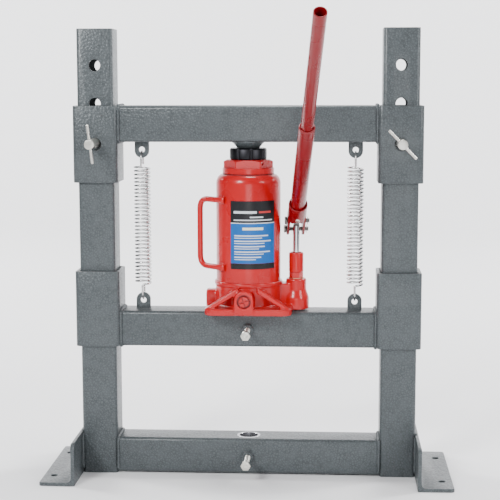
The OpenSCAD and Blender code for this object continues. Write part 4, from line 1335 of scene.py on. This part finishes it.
class PRESS_OT_label(bpy.types.Operator):
    """A printed film on the tank, in plain colour bands and bars with no lettering"""
    bl_idname = "press.label"
    bl_label = "Jack label"

    def execute(self, context):
        low, high, _ = box("jack_label")
        jack = jack_place()
        colours = context.scene.press_colours
        start, end = -119, -35
        radius, thick = 45.05 * MM, 0.3 * MM
        bottom, top = low.z - jack.translation.z, high.z - jack.translation.z
        field_low, field_high = bottom + 8 * MM, top - 31 * MM
        dark = printed_film("dark film", colours.label_dark)
        pale = printed_film("pale print", colours.label_bars)
        cream = printed_film("cream print", (0.8, 0.76, 0.55))
        red = printed_film("red print", (0.5, 0.03, 0.03))
        strip = 1.2 * MM
        over = radius + thick - 0.05 * MM
        print_thick = 0.1 * MM

        def band(low_edge, high_edge):
            return curved_patch(start, end, low_edge, high_edge, radius, thick)

        def bar(first, last, height, tall):
            return curved_patch(first, last, height, height + tall, over, print_thick)

        films = [("label_field", finishes()["film"], [band(field_low, field_high)]),
                 ("label_bands", dark, [band(bottom, field_low - 0.3 * MM), band(field_high + strip, top)])]
        lines = [band(field_high, field_high + strip)]
        lines += [bar(-113, -72, top - 17 * MM, 3.4 * MM), bar(-113, -41, top - 27 * MM, 1.6 * MM),
                  bar(-84, -60, top - 23 * MM, 1.8 * MM)]
        lengths = (62, 68, 55, 66, 48)
        pitch = 7.4 * MM
        for number, length in enumerate(lengths):
            height = field_high - 17.5 * MM - number * pitch
            lines.append(bar(-112, -112 + length, height, 1.7 * MM))
            lines.append(bar(-112, -112 + length * 0.8, height - 2.9 * MM, 1.1 * MM))
        films.append(("label_lines", pale, lines))
        films.append(("label_heading", cream, [bar(-97, -60, field_high - 8.8 * MM, 3.6 * MM)]))
        films.append(("label_accent", red, [bar(-68, -44, top - 16.5 * MM, 2.6 * MM)]))
        for number, (name, material, patches) in enumerate(films):
            obj = mesh_object(name, moved(joined(*patches), jack), 30)
            obj.data.materials.append(material)
            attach(obj, "press_beam")
            if number == 0:
                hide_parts("jack_label")
        return {"FINISHED"}


class PRESS_OT_bail(bpy.types.Operator):
    """The carrying handle of bent round bar, its ends flattened and welded to the tank"""
    bl_idname = "press.bail"
    bl_label = "Carrying handle"

    def execute(self, context):
        radius, reach, low, high = 4 * MM, 46.6 * MM, 63.5 * MM, 157 * MM
        bend = 15 * MM
        flat_length = 15 * MM
        shift = 1.3 * MM
        corners = softened([(0, 0, low), (reach, 0, low), (reach, 0, high), (0, 0, high)], bend, 10, False)
        path = []
        for a, b in zip(corners, corners[1:]):
            pieces = max(1, round((b - a).length / (2.5 * MM)))
            path += [a.lerp(b, k / pieces) for k in range(pieces)]
        path.append(corners[-1])
        path = [p + Vector((0, -shift * max(0, 1 - p.x / flat_length) ** 2, 0)) for p in path]
        total = sum((b - a).length for a, b in zip(path, path[1:]))

        def section(along):
            near = min(along, 1 - along) * total
            flat = max(0.0, 1 - near / flat_length) ** 1.5
            return radius * (1 + 0.25 * flat), radius * (1 - 0.32 * flat)

        bar = swept(path, section, 24, across=(0, 0, 1))
        place = jack_place() @ Matrix.Rotation(math.radians(228.5), 4, "Z") @ at(TANK_RADIUS + radius, 0, 0) \
            @ Matrix.Rotation(math.radians(-90), 4, "Z")
        obj = mesh_object("carry_handle", moved(bar, place), 50)
        finish(obj, "press_beam", "jack", "carry_bail")
        beads = []
        for height in (low, high):
            for side in (-1, 1):
                z = height + side * 4.6 * MM
                run = [(0.5 * MM, -3.6 * MM, z), (11 * MM, -3.2 * MM, z)]
                beads.append(moved(weld_bead(run, 1.5 * MM), place))
        finish(mesh_object("carry_handle_welds", joined(*beads), 60), "press_beam", "jack")
        return {"FINISHED"}


class PRESS_OT_ram(bpy.types.Operator):
    """The ram, and the adjusting screw with its fluted saddle"""
    bl_idname = "press.ram"
    bl_label = "Ram and saddle"

    def execute(self, context):
        flutes = context.scene.press_sizes.flutes
        jack = jack_place()
        ram_radius = 19 * MM
        ram = lathed([(0, 34 * MM), (21.42 * MM, 34 * MM), (21.42 * MM, 46 * MM), (ram_radius, 46 * MM),
                      (ram_radius, 210.8 * MM), (13.6 * MM, 210.8 * MM), (13.6 * MM, 118 * MM), (0, 118 * MM)],
                     0.5 * MM, 96)
        finish(mesh_object("ram_ground", moved(ram, jack)), "ram", "polished", "ram")
        foot, top = 211.6 * MM, box("extension_screw")[1].z - jack.translation.z
        radius, cut, away = 25.8 * MM, 2.4 * MM, 0.6 * MM
        step = 2 * math.pi / flutes

        def fluted(shrink):
            def at_angle(angle):
                off = (angle - math.radians(-78) + step / 2) % step - step / 2
                reach = radius + away
                inside = cut ** 2 - (reach * math.sin(off)) ** 2
                edge = reach * math.cos(off) - math.sqrt(inside) if inside > 0 else radius
                return min(radius - shrink, edge)
            return at_angle

        saddle = turned([(0, foot), (fluted(1.2 * MM), foot), (fluted(0), foot + 1.2 * MM),
                         (fluted(0), top - 2 * MM), (fluted(0.5 * MM), top - 0.9 * MM),
                         (fluted(1.7 * MM), top), (13.7 * MM, top), (13 * MM, top - 0.7 * MM),
                         (13 * MM, top - 3.2 * MM),
                         (0, top - 3.2 * MM)], flutes * 28)
        shank = threaded_rod(13.4 * MM, 128 * MM, foot + MM, 4 * MM, 1.3 * MM, plain=4 * MM, segments=64)
        obj = mesh_object("saddle_and_screw", moved(shank, jack))
        combine(obj, moved(saddle, jack), "UNION")
        finish(obj, "ram", "black", "extension_screw")
        return {"FINISHED"}


class PRESS_OT_pump(bpy.types.Operator):
    """The pump's cylinder and its polished plunger"""
    bl_idname = "press.pump"
    bl_label = "Pump"

    def execute(self, context):
        pump, plane = pump_place(), pump_plane()
        neck = 17 * MM

        def outline(angle):
            return hexagon_radius(neck, angle)

        bore = 4.58
        profile = [(bore, 28.3), (5, 28), (7.5, 28), (7.9, 28.4), (7.9, 46)]
        stations = [(r * MM, z * MM) for r, z in profile]
        stations += [(outline, 46 * MM), (outline, 53.4 * MM)]
        profile = [(8.6, 53.4), (9.4, 53.6), (10.2, 54.6), (10.2, 79.6), (9.9, 80.6), (9.0, 81.3),
                   (7.9, 81.3), (7.5, 80.9), (7.5, 74.8), (bore, 74.8)]
        stations += [(r * MM, z * MM) for r, z in profile]
        cylinder = mesh_object("pump_cylinder_turned", moved(turned(stations, 96), pump), 28)
        finish(cylinder, "press_beam", "jack", "pump_cylinder")
        pin = (plane.inverted() @ lever_place().translation).z
        rod_radius, rod_foot, rod_top = 4.5 * MM, 41 * MM, pin - 6 * MM
        rod = lathed([(0, rod_foot), (rod_radius, rod_foot), (rod_radius, rod_top), (0, rod_top)],
                     0.4 * MM, 48)
        finish(mesh_object("plunger_ground", moved(rod, plane)), "plunger", "polished", "pump_plunger")
        eye_radius, eye_hole, eye_half = 8.7 * MM, 5.3 * MM, 3.5 * MM
        eye = plate([circle_points(eye_radius, 56), circle_points(eye_hole, 40)],
                    -eye_half, eye_half, 0.7 * MM, 3)
        # The eye takes the dark pin steel as painted shade, for the shade inside the handle socket; only the rod
        # stays bright ground steel.
        finish(mesh_object("plunger_eye", moved(eye, plane @ at(0, 0, pin) @ ALONG_X)), "plunger", "pin")
        return {"FINISHED"}


class PRESS_OT_lever(bpy.types.Operator):
    """The pressed handle socket, the link behind the pump, and their pins and split pins"""
    bl_idname = "press.lever"
    bl_label = "Pump lever"

    def execute(self, context):
        lever, plane = lever_place(), pump_plane()
        fulcrum = (lever.inverted() @ Vector(joint("handle_pump")["pos_m"])).z
        outer, inner, mouth = 13 * MM, 11 * MM, 8.8 * MM
        floor_low, floor_high, rim = 8 * MM, 12 * MM, 43 * MM
        rivet_height, rivet_radius = 20 * MM, 2 * MM
        ear_place, ear_half = 10.8 * MM, 1.8 * MM
        tube = turned([(mouth, floor_low), (outer, floor_low), (outer, rim), (inner, rim),
                       (inner, floor_high), (mouth, floor_high)], 80)
        half = 8.5 * MM
        ear = [Vector((half * math.cos(a), fulcrum - half * math.sin(a)))
               for a in (math.pi * k / 18 for k in range(19))]
        ear += [Vector((-half, 9 * MM)), Vector((-4.5 * MM, 21 * MM)), Vector((4.5 * MM, 21 * MM)),
                Vector((half, 9 * MM))]
        shapes = [tube]
        for side in (-1, 1):
            middle = side * ear_place
            shapes.append(moved(plate([ear], middle - ear_half, middle + ear_half, 0.5 * MM), SIDE_PLANE))
        obj = cast("handle_socket_pressed", [moved(shape, lever) for shape in shapes], 0.55 * MM, 3)
        slot = rounded_rectangle(17.9 * MM, 40 * MM, MM)
        tools = [turned([(0, -2 * MM), (mouth, -2 * MM), (mouth, floor_high), (inner, floor_high),
                         (inner, 42.4 * MM), (inner + 0.6 * MM, rim), (inner + 0.6 * MM, 50 * MM),
                         (0, 50 * MM)], 80),
                 plate([slot], fulcrum - 14 * MM, floor_low, 0.2 * MM),
                 moved(drill(6.5 * MM, 0, 16 * MM, 0.1 * MM), at(0, 0, 7.5 * MM) @ UPRIGHT_PLANE),
                 moved(drill(2.05 * MM, 9 * MM, outer + MM, 0.1 * MM, 24),
                       at(0, 0, rivet_height) @ UPRIGHT_PLANE)]
        for height in (0, fulcrum):
            hole = drill(PIN_HOLE, -12.6 * MM, 12.6 * MM, 0.3 * MM, 32)
            tools.append(moved(hole, at(0, 0, height) @ ALONG_X))
        for tool in tools:
            combine(obj, moved(tool, lever), angle=45)
        finish(obj, "lever", "handle", "handle_socket")
        rivet = lathed([(0, 10.7 * MM), (rivet_radius, 10.7 * MM), (rivet_radius, 13.1 * MM),
                        (3.4 * MM, 13.1 * MM), (3.1 * MM, 14.2 * MM), (1.6 * MM, 14.75 * MM),
                        (0, 14.75 * MM)], 0.3 * MM, 32)
        rivet = moved(rivet, lever @ at(0, 0, rivet_height) @ UPRIGHT_PLANE)
        finish(mesh_object("socket_rivet_set", rivet), "lever", "zinc", "socket_rivet")
        pin = lathed([(0, -16.2 * MM), (5.4 * MM, -16.2 * MM), (5.4 * MM, -13 * MM), (PIN_RADIUS, -13 * MM),
                      (PIN_RADIUS, 18.3 * MM), (0, 18.3 * MM)], 0.6 * MM, 40)
        loop_radius, wire_radius = 2 * MM, 0.45 * MM
        leg = [(0, 2.6 * MM, 5.8 * MM), (0, 0.52 * MM, 4 * MM), (0, 0.52 * MM, -4.4 * MM)]
        wires = []
        for height, name in ((0, "plunger_pin"), (fulcrum, "fulcrum_pin")):
            place = lever @ at(0, 0, height)
            finish(mesh_object(name + "_turned", moved(pin, place @ ALONG_X)), "lever", "pin", name)
            loop = [(0, loop_radius * math.sin(a), -6.8 * MM - loop_radius * math.cos(a))
                    for a in (math.radians(200 + 14 * k) for k in range(23))]
            wire = softened(leg + loop + [(x, -y, z) for x, y, z in reversed(leg)], 0.5 * MM, 3, False)
            wires.append(moved(swept(wire, wire_radius, 10), place @ at(15.8 * MM, 0, 0)))
        finish(mesh_object("split_pins", joined(*wires), 60), "lever", "spring", "lever_cotters")
        foot = plane.inverted() @ Vector(joint("link_swing")["pos_m"])
        head = plane.inverted() @ Vector(joint("handle_pump")["pos_m"])
        outline = capsule((foot.y, foot.z), (head.y, head.z), 6.5 * MM, 5.5 * MM)
        eyes = [circle_points(3.08 * MM, 32, (p.y, p.z)) for p in (foot, head)]
        strap = moved(plate([outline] + eyes, -3 * MM, 3 * MM, 0.7 * MM, 3), plane @ SIDE_PLANE)
        finish(mesh_object("pump_link_cut", strap), "link", "handle", "pump_link")
        pin = lathed([(0, -12 * MM), (5 * MM, -12 * MM), (5 * MM, -9.5 * MM), (PIN_RADIUS, -9.5 * MM),
                      (PIN_RADIUS, 10 * MM), (0, 10 * MM)], 0.5 * MM, 40)
        pin = moved(pin, plane @ at(0, foot.y, foot.z) @ ALONG_X)
        finish(mesh_object("link_pin_turned", pin), "press_beam", "pin", "link_pin")
        return {"FINISHED"}


class PRESS_OT_handle(bpy.types.Operator):
    """The two telescoping tubes of the pump handle"""
    bl_idname = "press.handle"
    bl_label = "Handle tubes"

    def execute(self, context):
        lever = lever_place()
        low_start, low_end, top_start, top_end = 12.5, 222, 180, 438
        lower = [(9, low_start), (10.5, low_start), (10.5, low_end - 2.2), (9.4, low_end), (8.5, low_end),
                 (8.5, low_end - 1.2), (9, low_end - 3), (9, 179.7), (7.5, 179.7), (7.5, 174.5), (9, 173)]
        upper = [(6.7, top_start), (8.2, top_start), (8.2, top_end), (6.7, top_end)]
        for name, ring, body, node in (("handle_tube_lower", lower, "handle_low", "handle_lower"),
                                       ("handle_tube_upper", upper, "handle_top", "handle_upper")):
            shape = lathed([(r * MM, z * MM) for r, z in ring], 0.45 * MM, 64)
            finish(mesh_object(name, moved(shape, lever)), body, "handle", node)
        return {"FINISHED"}


class PRESS_OT_valves(bpy.types.Operator):
    """The cross-slotted release valve and the rubber filler plug"""
    bl_idname = "press.valves"
    bl_label = "Release valve and filler plug"

    def execute(self, context):
        low, high, mid = box("release_valve")
        place = at(mid.x, 0, mid.z) @ UPRIGHT_PLANE
        stem = lathed([(0, -high.y), (4 * MM, -high.y), (4 * MM, 56.4 * MM), (7 * MM, 56.4 * MM),
                       (7 * MM, -low.y), (0, -low.y)], 0.7 * MM, 48)
        obj = mesh_object("release_valve_turned", moved(stem, place))
        slot = rounded_rectangle(18 * MM, 2.2 * MM, 0.2 * MM)
        for turn in (20, 110):
            cutter = moved(plate([slot], 60.2 * MM, 66 * MM, 0.1 * MM),
                           place @ Matrix.Rotation(math.radians(turn), 4, "Z"))
            combine(obj, cutter)
        finish(obj, "release", "jack", "release_valve")
        low, high, mid = box("filler_plug")
        plug = lathed([(0, low.y), (3.4 * MM, low.y), (4 * MM, low.y + 1.5 * MM), (3.7 * MM, low.y + 3 * MM),
                       (4 * MM, low.y + 6 * MM), (6.5 * MM, low.y + 6.3 * MM), (6.3 * MM, high.y - 0.9 * MM),
                       (4 * MM, high.y - 0.1 * MM), (0, high.y)], 0.5 * MM, 40)
        plug = moved(plug, at(mid.x, 0, mid.z) @ ALONG_Y)
        finish(mesh_object("filler_plug_moulded", plug), "filler", "rubber", "filler_plug")
        return {"FINISHED"}


class PRESS_OT_inner_parts(bpy.types.Operator):
    """Finishes for the seals, valves and cylinder inside the jack"""
    bl_idname = "press.inner_parts"
    bl_label = "Inner parts"

    def execute(self, context):
        kinds = {"rubber": ("base_gasket", "tank_seal", "ram_wiper", "ram_cup", "pump_packing",
                            "release_o_ring"),
                 "copper": ("cylinder_washer", "pump_washer"), "honed": ("pressure_cylinder",),
                 "polished": ("valve_balls",), "spring": ("delivery_spring",), "zinc": ("delivery_plug",)}
        for material, nodes in kinds.items():
            for node in nodes:
                obj = frame["nodes"][node]
                for place in obj.material_slots:
                    place.material = finishes()[material]
        return {"FINISHED"}


# ---- the stage ----

class PRESS_OT_stage(bpy.types.Operator):
    """A pale floor that curves up behind the press, soft lights and the camera"""
    bl_idname = "press.stage"
    bl_label = "Stage, lights and camera"

    def execute(self, context):
        scene = context.scene
        wide, front, back, rise = 8.0, -6.0, 3.0, 1.2
        profile = [(front, 0.0), (back, 0.0)]
        profile += [(back + rise * math.sin(a), rise * (1 - math.cos(a)))
                    for a in (math.radians(9 * k) for k in range(1, 11))]
        profile.append((back + rise, 6.0))
        corners = [Vector((x, y, z)) for y, z in profile for x in (-wide, wide)]
        faces = [[2 * i, 2 * i + 1, 2 * i + 3, 2 * i + 2] for i in range(len(profile) - 1)]
        floor = mesh_object("floor", (corners, faces), 60, tidy=False)
        material, tree, surface = new_material("pale floor", Roughness=0.85)
        mottle = use_group(tree, "Mottle", Slow=1.4, Fine=60.0)
        colour = scene.press_colours.floor
        link(tree, mixed(tree, mottle["Broad"], shade_of(colour, 0.985), shade_of(colour, 1.01)),
             surface.inputs["Base Color"])
        floor.data.materials.append(material)
        middle, wall = Vector((0, 0, 0.3)), Vector((0, 4.2, 0.9))
        for name, place, size, power, aim in (
                ("key", (-1.4, -2.4, 1.8), 0.8, 84, middle), ("fill", (2.1, -1.7, 1.2), 1.0, 36, middle),
                ("top", (0.1, 0.2, 2.2), 0.6, 34, middle), ("low", (0.2, -2.6, 0.3), 1.0, 10, middle),
                ("wall left", (-2.6, 1.2, 2.2), 1.5, 230, wall),
                ("wall right", (2.6, 1.2, 2.2), 1.5, 230, wall)):
            lamp = bpy.data.lights.new(name, "AREA")
            lamp.shape = "DISK"
            lamp.size = size
            lamp.energy = power
            obj = bpy.data.objects.new(name, lamp)
            obj.location = place
            obj.rotation_euler = (aim - Vector(place)).to_track_quat("-Z", "Y").to_euler()
            scene.collection.objects.link(obj)
        world = bpy.data.worlds.new("soft surround")
        world.use_nodes = True
        surround = world.node_tree.nodes["Background"].inputs
        surround["Color"].default_value = (0.93, 0.95, 1.0, 1)
        surround["Strength"].default_value = 0.42
        scene.world = world
        camera = bpy.data.cameras.new("camera")
        camera.sensor_width = 36
        camera.lens = 95.6
        eye = bpy.data.objects.new("camera", camera)
        eye.location = (0.1141, -1.8466, 0.5529)
        eye.rotation_euler = (math.radians(90 - 7.24), math.radians(0.09), math.radians(3.46))
        scene.collection.objects.link(eye)
        scene.camera = eye
        return {"FINISHED"}


PIECE_OPERATORS = (PRESS_OT_uprights, PRESS_OT_beams, PRESS_OT_sleeves, PRESS_OT_feet, PRESS_OT_welds,
                   PRESS_OT_bushes, PRESS_OT_clamp_bolts, PRESS_OT_cross_pins, PRESS_OT_lugs,
                   PRESS_OT_jack_seat, PRESS_OT_springs, PRESS_OT_jack_base, PRESS_OT_oil_tank,
                   PRESS_OT_tank_nut, PRESS_OT_label, PRESS_OT_bail, PRESS_OT_ram, PRESS_OT_pump,
                   PRESS_OT_lever, PRESS_OT_handle, PRESS_OT_valves, PRESS_OT_inner_parts, PRESS_OT_stage)


class PRESS_PT_sidebar(bpy.types.Panel):
    """Lists the press's settings and the operators that build it"""
    bl_idname = "PRESS_PT_sidebar"
    bl_label = "Hydraulic press"
    bl_space_type = "VIEW_3D"
    bl_region_type = "UI"
    bl_category = "Press"

    def draw(self, context):
        layout = self.layout
        for settings in (context.scene.press_colours, context.scene.press_sizes):
            column = layout.column(align=True)
            for name in settings.__annotations__:
                column.prop(settings, name)
        column = layout.column(align=True)
        for operator in PIECE_OPERATORS:
            column.operator(operator.bl_idname)


CLASSES = (PressColours, PressSizes, *PIECE_OPERATORS, PRESS_PT_sidebar)


def register():
    for cls in CLASSES:
        bpy.utils.register_class(cls)
    bpy.types.Scene.press_colours = bpy.props.PointerProperty(type=PressColours)
    bpy.types.Scene.press_sizes = bpy.props.PointerProperty(type=PressSizes)


def unregister():
    del bpy.types.Scene.press_sizes
    del bpy.types.Scene.press_colours
    for cls in reversed(CLASSES):
        bpy.utils.unregister_class(cls)


def main():
    register()
    for operator in PIECE_OPERATORS:
        group, name = operator.bl_idname.split(".")
        getattr(getattr(bpy.ops, group), name)()


if __name__ == "__main__":
    main()
